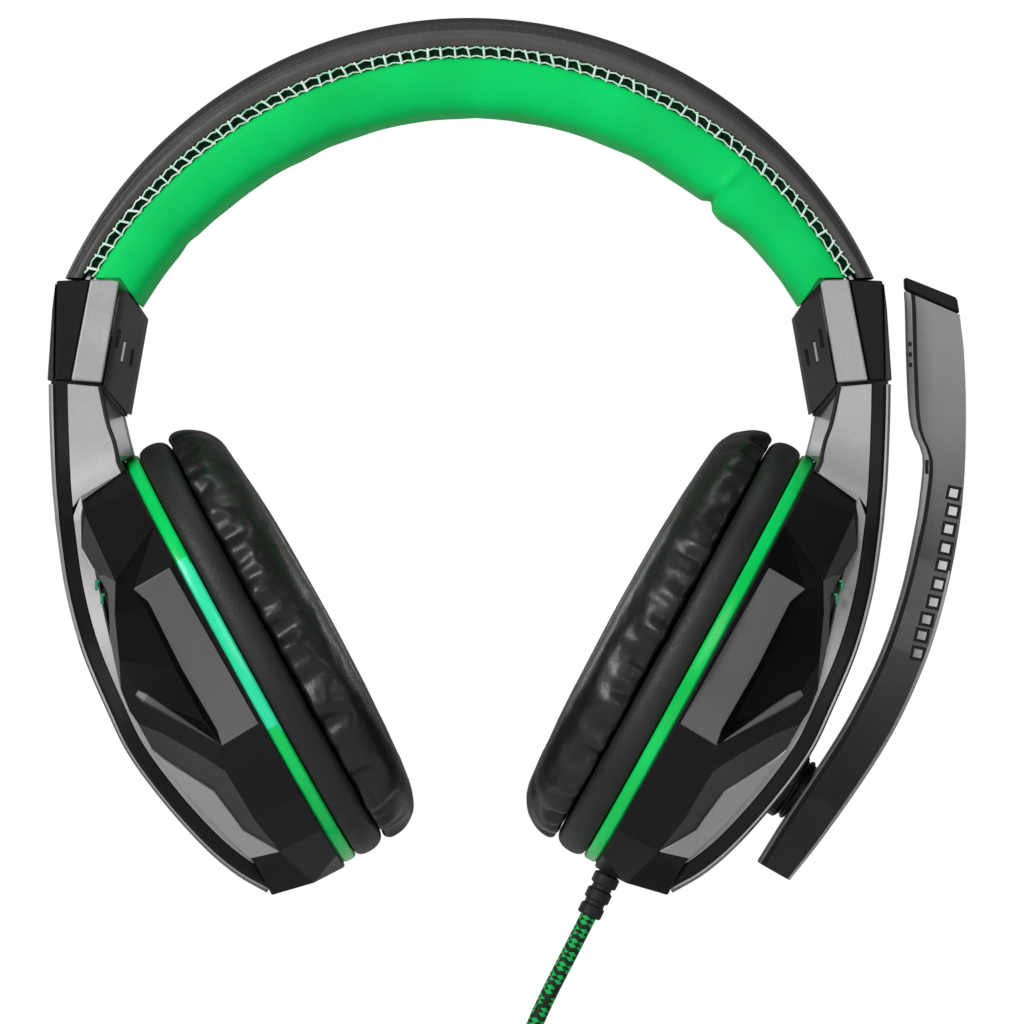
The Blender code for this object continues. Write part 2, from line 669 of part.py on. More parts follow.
def build_cup(side, cup, slide, materials):
    black, silver, green, leather, steel = materials
    bores = [MIC_BORE] if side == "left" else []
    build_arm(side, cup, slide, black, silver, steel, bores)
    build_housing(side, cup, black, bores)
    ring = oval_ring("light_ring", RING_PROFILE, RING_HALF_HEIGHT, RING_HALF_WIDTH)
    add("light_ring_" + side, ring, green, cup)
    skirt = oval_ring("cushion_skirt", SKIRT_PROFILE, RING_HALF_HEIGHT, RING_HALF_WIDTH)
    add("cushion_skirt_" + side, skirt, leather, cup)
    cushion = oval_ring(
        "ear_cushion", CUSHION_PROFILE, RING_HALF_HEIGHT, RING_HALF_WIDTH, CUSHION_INSET
    )
    add("ear_cushion_" + side, cushion, leather, cup)
    baffle = add("baffle_" + side, oval_disc("baffle", BAFFLE_INSET, BAFFLE_OUT), black, cup)
    hole = cylinder("driver_hole", DRIVER_HOLE_R, DRIVER_HOLE_LENGTH, segments=32)
    middle = Matrix.Translation((0.0, 0.0, sum(BAFFLE_OUT) / 2 * MM))
    cut(baffle, add_cutter("driver_hole_" + side, hole, cup.matrix_world @ middle))
    add("ear_mesh_" + side, oval_disc("ear_mesh", MESH_INSET, MESH_OUT), black, cup)
    add("speaker_driver_" + side, turned("speaker_driver", DRIVER_PROFILE), steel, cup)
    build_light(side, cup, green)


def light_frame(side, place, y):
    """A place on the front of a cup: x up, z out, on the side that faces -Y."""
    front = 1.0 if side == "left" else -1.0
    return Matrix.Translation(Vector((place[0] * MM, front * y, place[1] * MM)))


def led_pocket(side, cup):
    mesh = box("led_pocket", [value + 2 * GAP for value in LED_SIZE])
    return add_cutter("led_pocket_" + side, mesh, cup.matrix_world @ light_frame(side, LED_PLACE, LED_Y))


def build_light(side, cup, green):
    window = add("led_window_" + side, box("led_window", LED_SIZE), green, cup)
    window.matrix_local = light_frame(side, LED_PLACE, LED_Y)
    board = add("led_board_" + side, box("led_board", LED_BOARD_SIZE), green, cup)
    board.matrix_local = light_frame(side, LED_BOARD_PLACE, LED_BOARD_Y)


# ---- Boom microphone ----------------------------------------------------------------------------


def boom_outline():
    """The shell's outline: down the outer edge, then up the seam beside the inner shell."""
    seam = [(along, out + BOOM_SEAM) for along, out in BOOM_INNER]
    return [(point[0], point[1]) for point in smooth(BOOM_OUTER, 2)] + [
        (point[0], point[1]) for point in smooth(seam, 2)
    ]


def inner_shell_outline():
    low = smooth(BOOM_INNER, 2)
    high = smooth([(along, out + BOOM_SEAM - 0.3) for along, out in BOOM_INNER], 2)
    return low + high[::-1]


def boom_plate(name, outline, half_depth):
    """An outline of (along, out) in the boom's frame, as thick as twice half_depth across it."""
    sections = []
    for y in (-half_depth, half_depth):
        sections.append([Vector((along * MM, y, out * MM)) for along, out in outline])
    return loft(name, sections)


def build_microphone(cup, hinge, black, grey, steel):
    add_world("mic_socket", turned("mic_socket", SOCKET_PROFILE), black, cup, hinge.matrix_world)
    add("mic_pivot", turned("mic_pivot", PIVOT_PROFILE), black, hinge)
    shell = add("boom_shell", boom_plate("boom_shell", boom_outline(), BOOM_HALF_DEPTH), grey, hinge)
    bevel(shell, 0.8 * MM, 50.0)
    along, out = CAPSULE_PLACE
    spot = Matrix.Translation(Vector((along * MM, 0.0, out * MM)))
    pocket = cylinder("capsule_pocket", CAPSULE_R + GAP, CAPSULE_LENGTH + 2 * GAP, segments=20)
    capsule_pocket = add_cutter("capsule_pocket", pocket, hinge.matrix_world @ spot)
    cut(shell, capsule_pocket)
    inner_mesh = boom_plate("boom_inner_shell", inner_shell_outline(), BOOM_HALF_DEPTH)
    inner = add("boom_inner_shell", inner_mesh, black, hinge)
    cut(inner, capsule_pocket)
    tip = add("boom_tip", boom_plate("boom_tip", BOOM_TIP, BOOM_HALF_DEPTH), black, hinge)
    bevel(tip, 0.6 * MM)
    capsule_mesh = cylinder("mic_capsule", CAPSULE_R, CAPSULE_LENGTH, segments=20)
    capsule = add("mic_capsule", capsule_mesh, steel, hinge)
    capsule.matrix_local = spot


def add_world(name, mesh, material, parent, matrix):
    """An object placed in the world that still moves with a parent."""
    thing = add(name, mesh, material, parent)
    thing.matrix_parent_inverse = parent.matrix_world.inverted()
    thing.matrix_basis = matrix
    return thing


# ---- Cord ---------------------------------------------------------------------------------------


def relief_frame():
    """A frame with z down the strain relief, and its length."""
    start = Vector((RELIEF_START[0] * MM, 0.0, RELIEF_START[1] * MM))
    end = Vector((RELIEF_END[0] * MM, 0.0, RELIEF_END[1] * MM))
    direction = (end - start).normalized()
    return frame_matrix(start, Vector((0.0, 1.0, 0.0)), direction), (end - start).length


def relief_mesh():
    """Blocks with narrower necks between them, along the relief."""
    frame, length = relief_frame()
    stops = []
    for i in range(RELIEF_BLOCKS):
        radius = RELIEF_RADII[0] + (RELIEF_RADII[1] - RELIEF_RADII[0]) * i / (RELIEF_BLOCKS - 1)
        stops += [(i, radius), (i + 0.72, radius)]
        if i < RELIEF_BLOCKS - 1:
            stops += [(i + 0.76, RELIEF_GROOVE_R), (i + 0.96, RELIEF_GROOVE_R)]
    sections = []
    for place, radius in stops:
        section = []
        for step in range(RELIEF_SIDES):
            angle = 2 * math.pi * step / RELIEF_SIDES
            rim = Vector((radius * math.cos(angle), radius * math.sin(angle), place / RELIEF_BLOCKS * length))
            section.append(frame @ rim)
        sections.append(section)
    return loft("strain_relief", sections)


def hank_outline(grow):
    """A stadium round the wound cord, in (x, z)."""
    found = []
    radius = HANK_OUTER_R + grow
    for end, start in ((1, 0.0), (-1, math.pi)):
        for step in range(HANK_ARC_STEPS + 1):
            angle = start + math.pi * step / HANK_ARC_STEPS
            found.append((
                HANK_CENTRE[0] + radius * math.cos(angle),
                HANK_CENTRE[1] + end * HANK_RUN / 2 + radius * math.sin(angle),
            ))
    return found


def hank_slab(name, outline, half_depth):
    sections = [[Vector((x, y, z)) for x, z in outline] for y in (-half_depth, half_depth)]
    return loft(name, sections)


def build_cord(cup, black, braid):
    identity = Matrix.Identity(4)
    add_world("strain_relief", relief_mesh(), black, cup, identity)
    tube("cord_lead", smooth(CORD_ROUTE, ROUTE_STEPS), braid, cup)
    tube("cord_tail", smooth(TAIL_ROUTE, ROUTE_STEPS), braid, cup)
    add_world("cord_hank", hank_slab("cord_hank", hank_outline(0.0), HANK_DEPTH / 2), braid, cup, identity)
    wide = 2 * (HANK_OUTER_R + GAP)
    deep = HANK_DEPTH + 2 * GAP
    centre = (HANK_CENTRE[0], 0.0, HANK_CENTRE[1])
    tie_size = (wide + 2 * TIE_THICKNESS, deep + 2 * TIE_THICKNESS, TIE_HEIGHT)
    tie = add_world("cord_tie", box("cord_tie", tie_size, centre), black, cup, identity)
    cut(tie, add_cutter("tie_inside", box("tie_inside", (wide, deep, 2 * TIE_HEIGHT), centre)))
    build_plug(cup, black)


def build_plug(cup, black):
    x, top = PLUG_TOP
    identity = Matrix.Identity(4)
    grip_mesh = box("usb_grip", PLUG_GRIP, (x, 0.0, top - PLUG_GRIP[2] / 2))
    grip = add_world("usb_grip", grip_mesh, black, cup, identity)
    bevel(grip, 1.5 * MM)
    shell_top = top - PLUG_GRIP[2] - GAP
    shell_centre = (x, 0.0, shell_top - PLUG_SHELL[2] / 2)
    shell = add_world("usb_shell", box("usb_shell", PLUG_SHELL, shell_centre), STEEL_FINISH, cup, identity)
    mouth_centre = (x, 0.8 * MM, shell_top - PLUG_SHELL[2])
    cut(shell, add_cutter("usb_mouth", box("usb_mouth", (*PLUG_MOUTH[:2], 2 * PLUG_MOUTH[2]), mouth_centre)))


# ---- Assembly -----------------------------------------------------------------------------------

BLACK_PLASTIC = finish("black_plastic", BLACK, 0.45)
GREEN_PAD = finish("green_pad", GREEN, 0.7)
GREEN_GLOSS = finish("green_gloss", GREEN, 0.25)
SILVER_PAINT = finish("silver_paint", SILVER, 0.35, 0.6)
BLACK_LEATHER = finish("black_leather", LEATHER, 0.5)
COVER_LEATHER = finish("cover_leather", BROWN_LEATHER, 0.5)
BOOM_PLASTIC = finish("boom_plastic", BOOM_GREY, 0.3)
STEEL_FINISH = finish("steel", STEEL, 0.3, 1.0)
BRAID = finish("braid", GREEN, 0.8)

CUP_FRAMES = {side: tilted_frame(side, CUP_CENTRE, CUP_TILT) for side in SIDES}
SLIDES = {side: empty_at("slide_" + side, rail_frame(side)) for side in SIDES}
CUPS = {side: empty_at("cup_" + side, CUP_FRAMES[side], SLIDES[side]) for side in SIDES}
MIC_HINGE = empty_at("mic_hinge", tilted_frame("left", MIC_PIVOT, MIC_TILT), CUPS["left"])

RAIL_SLOTS = {side: rail_slot(side) for side in SIDES}
LED_POCKETS = {side: led_pocket(side, CUPS[side]) for side in SIDES}
RELIEF_BORE = add_cutter(
    "relief_bore", cylinder("relief_bore", RELIEF_BORE_R, RELIEF_BORE_LENGTH), relief_frame()[0]
)
SPRING_POCKET = add_cutter(
    "spring_pocket", band_layer("spring_pocket", SPRING_END_ANGLE + SPRING_POCKET_EXTRA, strip_section(GAP))
)
MIC_BORE = add_cutter(
    "mic_bore", cylinder("mic_bore", PIVOT_BORE_R, PIVOT_BORE_LENGTH), MIC_HINGE.matrix_world
)

build_headband(COVER_LEATHER, GREEN_PAD, STEEL_FINISH)
for each_side in SIDES:
    build_end_caps(each_side, BLACK_PLASTIC, SILVER_PAINT, STEEL_FINISH)
    cup_materials = (BLACK_PLASTIC, SILVER_PAINT, GREEN_GLOSS, BLACK_LEATHER, STEEL_FINISH)
    build_cup(each_side, CUPS[each_side], SLIDES[each_side], cup_materials)
build_microphone(CUPS["left"], MIC_HINGE, BLACK_PLASTIC, BOOM_PLASTIC, STEEL_FINISH)
build_cord(CUPS["left"], BLACK_PLASTIC, BRAID)
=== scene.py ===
import json
import math
import random

import bmesh
import bpy
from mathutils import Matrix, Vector, noise


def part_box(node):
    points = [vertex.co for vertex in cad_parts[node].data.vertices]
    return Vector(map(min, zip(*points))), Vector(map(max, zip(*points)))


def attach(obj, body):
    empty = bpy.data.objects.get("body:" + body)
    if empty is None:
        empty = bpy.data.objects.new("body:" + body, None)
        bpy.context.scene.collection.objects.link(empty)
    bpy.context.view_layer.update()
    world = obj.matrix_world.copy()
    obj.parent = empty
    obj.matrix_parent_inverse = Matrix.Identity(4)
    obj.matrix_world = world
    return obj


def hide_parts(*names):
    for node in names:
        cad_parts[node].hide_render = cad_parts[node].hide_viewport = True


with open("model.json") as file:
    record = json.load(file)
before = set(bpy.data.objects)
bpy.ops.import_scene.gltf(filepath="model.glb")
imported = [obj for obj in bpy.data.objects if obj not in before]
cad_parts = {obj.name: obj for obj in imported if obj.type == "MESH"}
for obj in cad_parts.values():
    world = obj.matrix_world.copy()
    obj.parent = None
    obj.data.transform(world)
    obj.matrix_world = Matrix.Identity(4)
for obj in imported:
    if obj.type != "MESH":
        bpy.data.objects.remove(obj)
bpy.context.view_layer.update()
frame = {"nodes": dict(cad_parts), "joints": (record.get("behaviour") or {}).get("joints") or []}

MM = 0.001
SIDES = {"left": 1, "right": -1}
FACES = {"front": -1, "back": 1}
CUP_TILT = math.radians(28.65)

# ---- Places read from the frame -----------------------------------------------------------------


def joint(name):
    return next(item for item in frame["joints"] if item["name"] == name)


class Local:
    """A cup's or the boom's own directions: u up along it, y across, n out along its axis."""

    def __init__(self, origin, out):
        self.origin = Vector(origin)
        self.out = Vector(out).normalized()
        self.up = Vector((-self.out.z, 0.0, self.out.x))
        if self.up.z < 0:
            self.up.negate()

    def __call__(self, u, y, n):
        """A place given in millimetres, in the row frame in metres."""
        return self.origin + (self.up * u + Vector((0.0, y, 0.0)) + self.out * n) * MM


def cup_local(side):
    low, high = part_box("light_ring_" + side)
    return Local((low + high) / 2, (SIDES[side] * math.cos(CUP_TILT), 0.0, -math.sin(CUP_TILT)))


CUPS = {side: cup_local(side) for side in SIDES}
MIC = Local(joint("mic_swivel")["pos_m"], joint("mic_swivel")["axis"])

# ---- Camera, light and floor --------------------------------------------------------------------

CAMERA_PLACE = (0.0097, -3.0, -0.0906)
CAMERA_LENS = 458.6
FLOOR_HEIGHT = -0.40
AMBIENT = 0.16
# Place, size and power of each soft box, in metres and watts; all of them face the headset.
SOFT_BOXES = {
    "key": ((-1.7, -2.3, 1.0), 1.1, 58.0),
    "front": ((0.25, -3.4, 0.35), 1.0, 11.0),
    "right": ((2.2, -1.3, 0.2), 0.7, 4.0),
    "top": ((0.1, -0.4, 2.4), 1.2, 12.0),
    "rim_left": ((-1.6, 1.6, 0.6), 0.8, 7.0),
    "rim_right": ((1.7, 1.5, 0.5), 0.8, 6.0),
}
AIM = Vector((0.0, 0.0, -0.09))


def linked(name, data):
    """A new object in the scene."""
    thing = bpy.data.objects.new(name, data)
    bpy.context.scene.collection.objects.link(thing)
    return thing


def build_camera():
    data = bpy.data.cameras.new("camera")
    data.lens = CAMERA_LENS
    data.clip_start = 0.05
    data.clip_end = 50.0
    camera = linked("camera", data)
    camera.location = CAMERA_PLACE
    camera.rotation_euler = (math.pi / 2, 0.0, 0.0)
    bpy.context.scene.camera = camera
    bpy.context.scene.view_settings.view_transform = "Standard"


def build_light():
    world = bpy.data.worlds.new("studio")
    bpy.context.scene.world = world
    world.use_nodes = True
    nodes, links = world.node_tree.nodes, world.node_tree.links
    room = nodes["Background"]
    room.inputs["Color"].default_value = (AMBIENT, AMBIENT, AMBIENT, 1.0)
    backdrop = nodes.new("ShaderNodeBackground")
    backdrop.inputs["Color"].default_value = (1.0, 1.0, 1.0, 1.0)
    choice = nodes.new("ShaderNodeMixShader")
    path = nodes.new("ShaderNodeLightPath")
    links.new(path.outputs["Is Camera Ray"], choice.inputs["Fac"])
    links.new(room.outputs["Background"], choice.inputs[1])
    links.new(backdrop.outputs["Background"], choice.inputs[2])
    links.new(choice.outputs["Shader"], nodes["World Output"].inputs["Surface"])
    for name, (place, size, power) in SOFT_BOXES.items():
        data = bpy.data.lights.new(name, "AREA")
        data.energy = power
        data.size = size
        lamp = linked(name, data)
        lamp.location = place
        lamp.rotation_euler = (AIM - Vector(place)).to_track_quat("-Z", "Y").to_euler()


# ---- Materials ----------------------------------------------------------------------------------


class Surface:
    """A Principled material built up from procedural textures in the object's own space."""

    def __init__(self, name, roughness=0.5, metallic=0.0, specular=0.5, coat=0.0):
        self.material = bpy.data.materials.new(name)
        self.material.use_nodes = True
        self.nodes = self.material.node_tree.nodes
        self.links = self.material.node_tree.links
        self.shader = self.nodes["Principled BSDF"]
        self.set(Roughness=roughness, Metallic=metallic, Specular_IOR_Level=specular, Coat_Weight=coat)
        self.place = self.nodes.new("ShaderNodeTexCoord").outputs["Object"]
        self.normal = None

    def feed(self, socket, value):
        """Links an output to a socket, or sets a plain value on it."""
        if isinstance(value, bpy.types.NodeSocket):
            self.links.new(value, socket)
        else:
            socket.default_value = value

    def set(self, node=None, **values):
        node = node or self.shader
        for name, value in values.items():
            self.feed(node.inputs[name.replace("_", " ")], value)
        return node

    def node(self, kind, **values):
        return self.set(self.nodes.new("ShaderNode" + kind), **values)

    def noise(self, scale, detail=3.0, stretch=None):
        place = self.place
        if stretch:
            place = self.node("Mapping", Scale=stretch, Vector=place).outputs["Vector"]
        return self.node("TexNoise", Scale=scale, Detail=detail, Vector=place).outputs["Fac"]

    def cells(self, scale, feature="F1"):
        node = self.node("TexVoronoi", Scale=scale, Vector=self.place)
        node.feature = feature
        return node.outputs["Distance"]

    def wave(self, scale, direction):
        node = self.node("TexWave", Scale=scale, Vector=self.place)
        node.bands_direction = direction
        return node.outputs["Fac"]

    def math(self, operation, first, second):
        node = self.node("Math")
        node.operation = operation
        for socket, value in zip(node.inputs, (first, second)):
            self.feed(socket, value)
        return node.outputs[0]

    def ranged(self, value, low, high, start=0.3, end=0.7):
        span = {"From_Min": start, "From_Max": end, "To_Min": low, "To_Max": high}
        return self.node("MapRange", Value=value, **span).outputs["Result"]

    def colours(self, value, *stops):
        """Stops are (position, colour)."""
        ramp = self.node("ValToRGB", Fac=value)
        elements = ramp.color_ramp.elements
        while len(elements) < len(stops):
            elements.new(0.5)
        for element, (position, colour) in zip(elements, stops):
            element.position = position
            element.color = (*colour, 1.0)
        self.set(Base_Color=ramp.outputs["Color"])

    def rough(self, value, low, high):
        self.set(Roughness=self.ranged(value, low, high))

    def bump(self, height, depth, strength):
        node = self.node("Bump", Strength=strength, Distance=depth, Height=height)
        if self.normal:
            self.set(node, Normal=self.normal)
        self.normal = node.outputs["Normal"]
        self.set(Normal=self.normal)


def grey(value, tint=0.0):
    return (value * (1 + tint), value, value * (1 - tint * 0.6))


def leather(name, dark, light, tint, grain, roughness, depth=0.16):
    """Grained artificial leather: fine cells, pores and a slow change of tone."""
    surface = Surface(name, specular=0.42)
    tone = surface.noise(55.0, 4.0)
    surface.colours(tone, (0.35, grey(dark, tint)), (0.65, grey(light, tint)))
    cells = surface.cells(grain, "SMOOTH_F1")
    surface.rough(surface.noise(900.0), roughness - 0.05, roughness + 0.07)
    surface.bump(cells, depth * MM, 0.55)
    surface.bump(surface.noise(grain * 2.2, 2.0), 0.05 * MM, 0.5)
    return surface.material


def moulded_plastic(name, dark, light, roughness, spark=0.02, specular=0.3, coat=0.0):
    """Moulded plastic with a fine spark texture and faint scuffs."""
    surface = Surface(name, specular=specular, coat=coat)
    surface.colours(surface.noise(38.0, 3.0), (0.35, grey(dark)), (0.65, grey(light)))
    scuffs = surface.noise(160.0, 5.0, stretch=(1.0, 1.0, 0.25))
    surface.rough(scuffs, roughness - 0.04, roughness + 0.06)
    surface.bump(surface.noise(5200.0, 2.0), spark * MM, 0.6)
    return surface.material


# Heights in metres over which the boom's painted reflection goes from black to grey.
BOOM_PAINTED_REFLECTION_SPAN = (-0.16, -0.045)


def boom_plastic():
    """Glossy black plastic with a painted reflection: grey is painted in at the tip and fades to black at the
    pivot.
    """
    surface = Surface("boom_plastic", specular=0.4, coat=0.2)
    split = surface.node("SeparateXYZ", Vector=surface.place)
    height = surface.ranged(split.outputs["Z"], 0.0, 1.0, *BOOM_PAINTED_REFLECTION_SPAN)
    tone = surface.math("ADD", height, surface.math("MULTIPLY", surface.noise(30.0), 0.06))
    # Grey levels of the painted reflection, from the pivot to the tip.
    stops = ((0.0, 0.003), (0.25, 0.006), (0.55, 0.05), (0.8, 0.21), (1.0, 0.27))
    surface.colours(tone, *((position, grey(value)) for position, value in stops))
    surface.rough(surface.noise(160.0, 5.0), 0.24, 0.32)
    surface.bump(surface.noise(5200.0, 2.0), 0.006 * MM, 0.5)
    return surface.material


def silver_paint():
    """Satin silver paint with metal flakes and slightly duller wear patches."""
    surface = Surface("silver_paint", metallic=0.55, specular=0.4, coat=0.12)
    flakes = surface.cells(5200.0)
    surface.colours(flakes, (0.0, grey(0.42)), (0.55, grey(0.36)), (1.0, grey(0.52)))
    surface.rough(surface.noise(130.0, 5.0), 0.36, 0.46)
    surface.bump(surface.noise(3600.0, 2.0), 0.012 * MM, 0.5)
    return surface.material


def green_fabric():
    """Soft green padding cloth: a fine knit over slow changes of tone."""
    surface = Surface("green_fabric", specular=0.12)
    surface.set(Sheen_Weight=0.04, Sheen_Roughness=0.4)
    tone = surface.noise(42.0, 3.0)
    surface.colours(tone, (0.3, (0.0, 0.56, 0.105)), (0.7, (0.0, 0.72, 0.15)))
    surface.rough(surface.noise(300.0), 0.55, 0.68)
    knit = surface.math("MULTIPLY", surface.wave(330.0, "Y"), surface.wave(330.0, "DIAGONAL"))
    surface.bump(knit, 0.05 * MM, 0.45)
    surface.bump(surface.noise(260.0, 4.0), 0.12 * MM, 0.3)
    return surface.material


def green_light(name, dark, light):
    """Glossy translucent light guide."""
    surface = Surface(name, specular=0.3, coat=0.1)
    surface.set(Subsurface_Weight=0.25, Subsurface_Scale=0.002, Subsurface_Radius=(0.3, 1.0, 0.5))
    surface.colours(surface.noise(60.0), (0.3, dark), (0.7, light))
    surface.rough(surface.noise(500.0), 0.16, 0.24)
    surface.bump(surface.noise(700.0, 2.0), 0.02 * MM, 0.3)
    return surface.material


def thread():
    """Pale mint lacing thread, twisted."""
    surface = Surface("lacing_thread", roughness=0.6, specular=0.3)
    surface.colours(surface.noise(900.0), (0.3, (0.33, 0.85, 0.55)), (0.62, (0.86, 0.98, 0.90)))
    surface.bump(surface.wave(1300.0, "DIAGONAL"), 0.05 * MM, 0.6)
    return surface.material


def gap_cloth():
    """The dark lining that shows between the lacing."""
    surface = Surface("gusset_cloth", roughness=0.85, specular=0.1)
    surface.colours(surface.noise(700.0), (0.35, (0.002, 0.012, 0.005)), (0.65, (0.004, 0.035, 0.012)))
    surface.bump(surface.noise(1500.0), 0.06 * MM, 0.5)
    return surface.material


BRAID_TURNS = 5
BRAID_PITCH = 6.0 * MM
# What a step along either way of the braid adds to a yarn's number; the lower half of the numbers is black.
BRAID_WEIGHTS = (2.0, 3.0)


def braid():
    """Plaited sleeve: u runs round the cord and v is the length along it in metres."""
    surface = Surface("braid", roughness=0.62, specular=0.3)
    split = surface.node("SeparateXYZ", Vector=surface.node("TexCoord").outputs["UV"])
    around = surface.math("MULTIPLY", split.outputs["X"], float(BRAID_TURNS))
    along = surface.math("MULTIPLY", split.outputs["Y"], BRAID_TURNS / BRAID_PITCH)
    one = surface.math("ADD", around, along)
    other = surface.math("SUBTRACT", around, along)
    ridges = [surface.math("PINGPONG", way, 0.5) for way in (one, other)]
    blocks = [surface.math("FLOOR", way, 0.0) for way in (one, other)]
    crossing = surface.math("ADD", *blocks)
    over = surface.math("MODULO", surface.math("ABSOLUTE", crossing, 0.0), 2.0)
    yarns = [surface.math("MULTIPLY", ways, weight) for ways, weight in zip(blocks, BRAID_WEIGHTS)]
    number = surface.math("ABSOLUTE", surface.math("ADD", *yarns), 0.0)
    number = surface.math("MODULO", number, sum(BRAID_WEIGHTS))
    dark = surface.math("LESS_THAN", number, sum(BRAID_WEIGHTS) / 2)
    shade = surface.math("MULTIPLY", surface.noise(900.0), 0.2)
    value = surface.math("ADD", surface.math("MULTIPLY", dark, 0.6), shade)
    surface.colours(
        value, (0.0, (0.0, 0.40, 0.07)), (0.3, (0.0, 0.60, 0.12)),
        (0.5, (0.004, 0.03, 0.008)), (1.0, (0.003, 0.006, 0.004)),
    )
    height = surface.math("ADD", surface.math("MULTIPLY", *ridges), surface.math("MULTIPLY", over, 0.1))
    surface.bump(height, 0.5 * MM, 0.8)
    return surface.material


def brushed_steel():
    surface = Surface("brushed_steel", metallic=1.0)
    surface.colours(surface.noise(90.0), (0.3, grey(0.42)), (0.7, grey(0.60)))
    surface.rough(surface.noise(700.0, 4.0, stretch=(1.0, 1.0, 0.04)), 0.24, 0.42)
    surface.bump(surface.noise(1400.0, 2.0, stretch=(1.0, 1.0, 0.03)), 0.01 * MM, 0.5)
    return surface.material


def rubber():
    surface = Surface("black_rubber", specular=0.25)
    surface.colours(surface.noise(120.0), (0.3, grey(0.010)), (0.7, grey(0.019)))
    surface.rough(surface.noise(400.0), 0.5, 0.66)
    surface.bump(surface.noise(2200.0), 0.03 * MM, 0.5)
    return surface.material


def speaker_cloth():
    """Open black mesh over the driver."""
    surface = Surface("speaker_cloth", roughness=0.85, specular=0.15)
    weave = surface.math("MULTIPLY", surface.wave(260.0, "Y"), surface.wave(260.0, "Z"))
    surface.colours(weave, (0.1, grey(0.002)), (0.5, grey(0.022)))
    surface.bump(weave, 0.15 * MM, 0.9)
    return surface.material


def tie_fabric():
    surface = Surface("tie_fabric", roughness=0.9, specular=0.15)
    surface.set(Sheen_Weight=0.3)
    surface.colours(surface.noise(1500.0), (0.3, grey(0.006)), (0.7, grey(0.035)))
    surface.bump(surface.noise(2600.0, 3.0), 0.25 * MM, 0.8)
    return surface.material


def circuit_board():
    surface = Surface("circuit_board", roughness=0.35)
    surface.colours(surface.cells(700.0), (0.2, (0.003, 0.06, 0.02)), (0.6, (0.01, 0.14, 0.05)))
    surface.bump(surface.cells(700.0), 0.05 * MM, 0.4)
    return surface.material


build_camera()
build_light()

COVER_LEATHER = leather("cover_leather", 0.060, 0.078, 0.05, 1500.0, 0.48)
CROWN_LEATHER = leather("crown_leather", 0.022, 0.030, 0.04, 1500.0, 0.50)
BLACK_LEATHER = leather("black_leather", 0.007, 0.011, 0.03, 1300.0, 0.36, 0.04)
SKIRT_LEATHER = leather("skirt_leather", 0.008, 0.013, 0.03, 2100.0, 0.52, 0.12)
GREEN_FABRIC = green_fabric()
GREEN_LIGHT = green_light("green_light", (0.0, 0.56, 0.075), (0.0, 0.74, 0.15))
# A paler green for the painted glint on one ring.
GLINT_LIGHT = green_light("glint_light", (0.02, 0.80, 0.40), (0.04, 0.86, 0.46))
LED_LIGHT = green_light("led_light", (0.0, 0.18, 0.075), (0.0, 0.26, 0.12))
BLACK_PLASTIC = moulded_plastic("black_plastic", 0.0045, 0.0065, 0.34, 0.015, 0.2)
DARK_PLASTIC = moulded_plastic("dark_plastic", 0.018, 0.026, 0.42, 0.03, 0.25)
# Copies of the black plastic whose colours paint light and shade on the housing's facets: half lit, shaded in
# the recess, and lit.
HALF_LIT_PAINTED_PLASTIC = moulded_plastic("half_lit_painted_plastic", 0.034, 0.042, 0.38, 0.015, 0.25)
PAINTED_SHADE_PLASTIC = moulded_plastic("painted_shade_plastic", 0.0012, 0.0022, 0.45, 0.015, 0.1)
PAINTED_LIGHT_PLASTIC = moulded_plastic("painted_light_plastic", 0.098, 0.118, 0.38, 0.015, 0.3)
BOOM_PLASTIC_WITH_PAINTED_REFLECTION = boom_plastic()
PALE_PLASTIC = moulded_plastic("pale_plastic", 0.30, 0.36, 0.30, 0.006, 0.5, 0.3)
# A darker copy of the silver paint, which paints shade on the skins' lower outer faces and on the caps' outer
# sides.
SILVER_PAINTED_SHADE = moulded_plastic("silver_painted_shade", 0.022, 0.032, 0.36, 0.01, 0.3)
STUD_PLASTIC = moulded_plastic("stud_plastic", 0.46, 0.55, 0.28, 0.006, 0.5, 0.3)
SILVER_PAINT = silver_paint()
THREAD = thread()
GAP_CLOTH = gap_cloth()
BRAID = braid()
STEEL = brushed_steel()
RUBBER = rubber()
SPEAKER_CLOTH = speaker_cloth()
TIE_FABRIC = tie_fabric()
BOARD = circuit_board()

# ---- Mesh helpers -------------------------------------------------------------------------------


def smooth(points, steps):
    """More points on a Catmull-Rom curve through points with any number of values."""
    ends = [tuple(2 * a - b for a, b in zip(points[0], points[1]))]
    ends += [tuple(point) for point in points]
    ends.append(tuple(2 * a - b for a, b in zip(points[-1], points[-2])))
    found = []
    for i in range(1, len(ends) - 2):
        for step in range(steps):
            t = step / steps
            weights = (
                -0.5 * t + t ** 2 - 0.5 * t ** 3,
                1 - 2.5 * t ** 2 + 1.5 * t ** 3,
                0.5 * t + 2 * t ** 2 - 1.5 * t ** 3,
                -0.5 * t ** 2 + 0.5 * t ** 3,
            )
            found.append(tuple(
                sum(w * ends[i - 1 + k][axis] for k, w in enumerate(weights)) for axis in range(len(ends[0]))
            ))
    found.append(tuple(points[-1]))
    return found


def resampled(points, count):
    """count points at even distances along a line of points."""
    points = [Vector(point) for point in points]
    lengths = [0.0]
    for first, second in zip(points, points[1:]):
        lengths.append(lengths[-1] + (second - first).length)
    found = []
    i = 0
    for k in range(count):
        target = lengths[-1] * k / (count - 1)
        while i < len(points) - 2 and lengths[i + 1] < target:
            i += 1
        share = (target - lengths[i]) / (lengths[i + 1] - lengths[i])
        found.append(points[i].lerp(points[i + 1], min(max(share, 0.0), 1.0)))
    return found


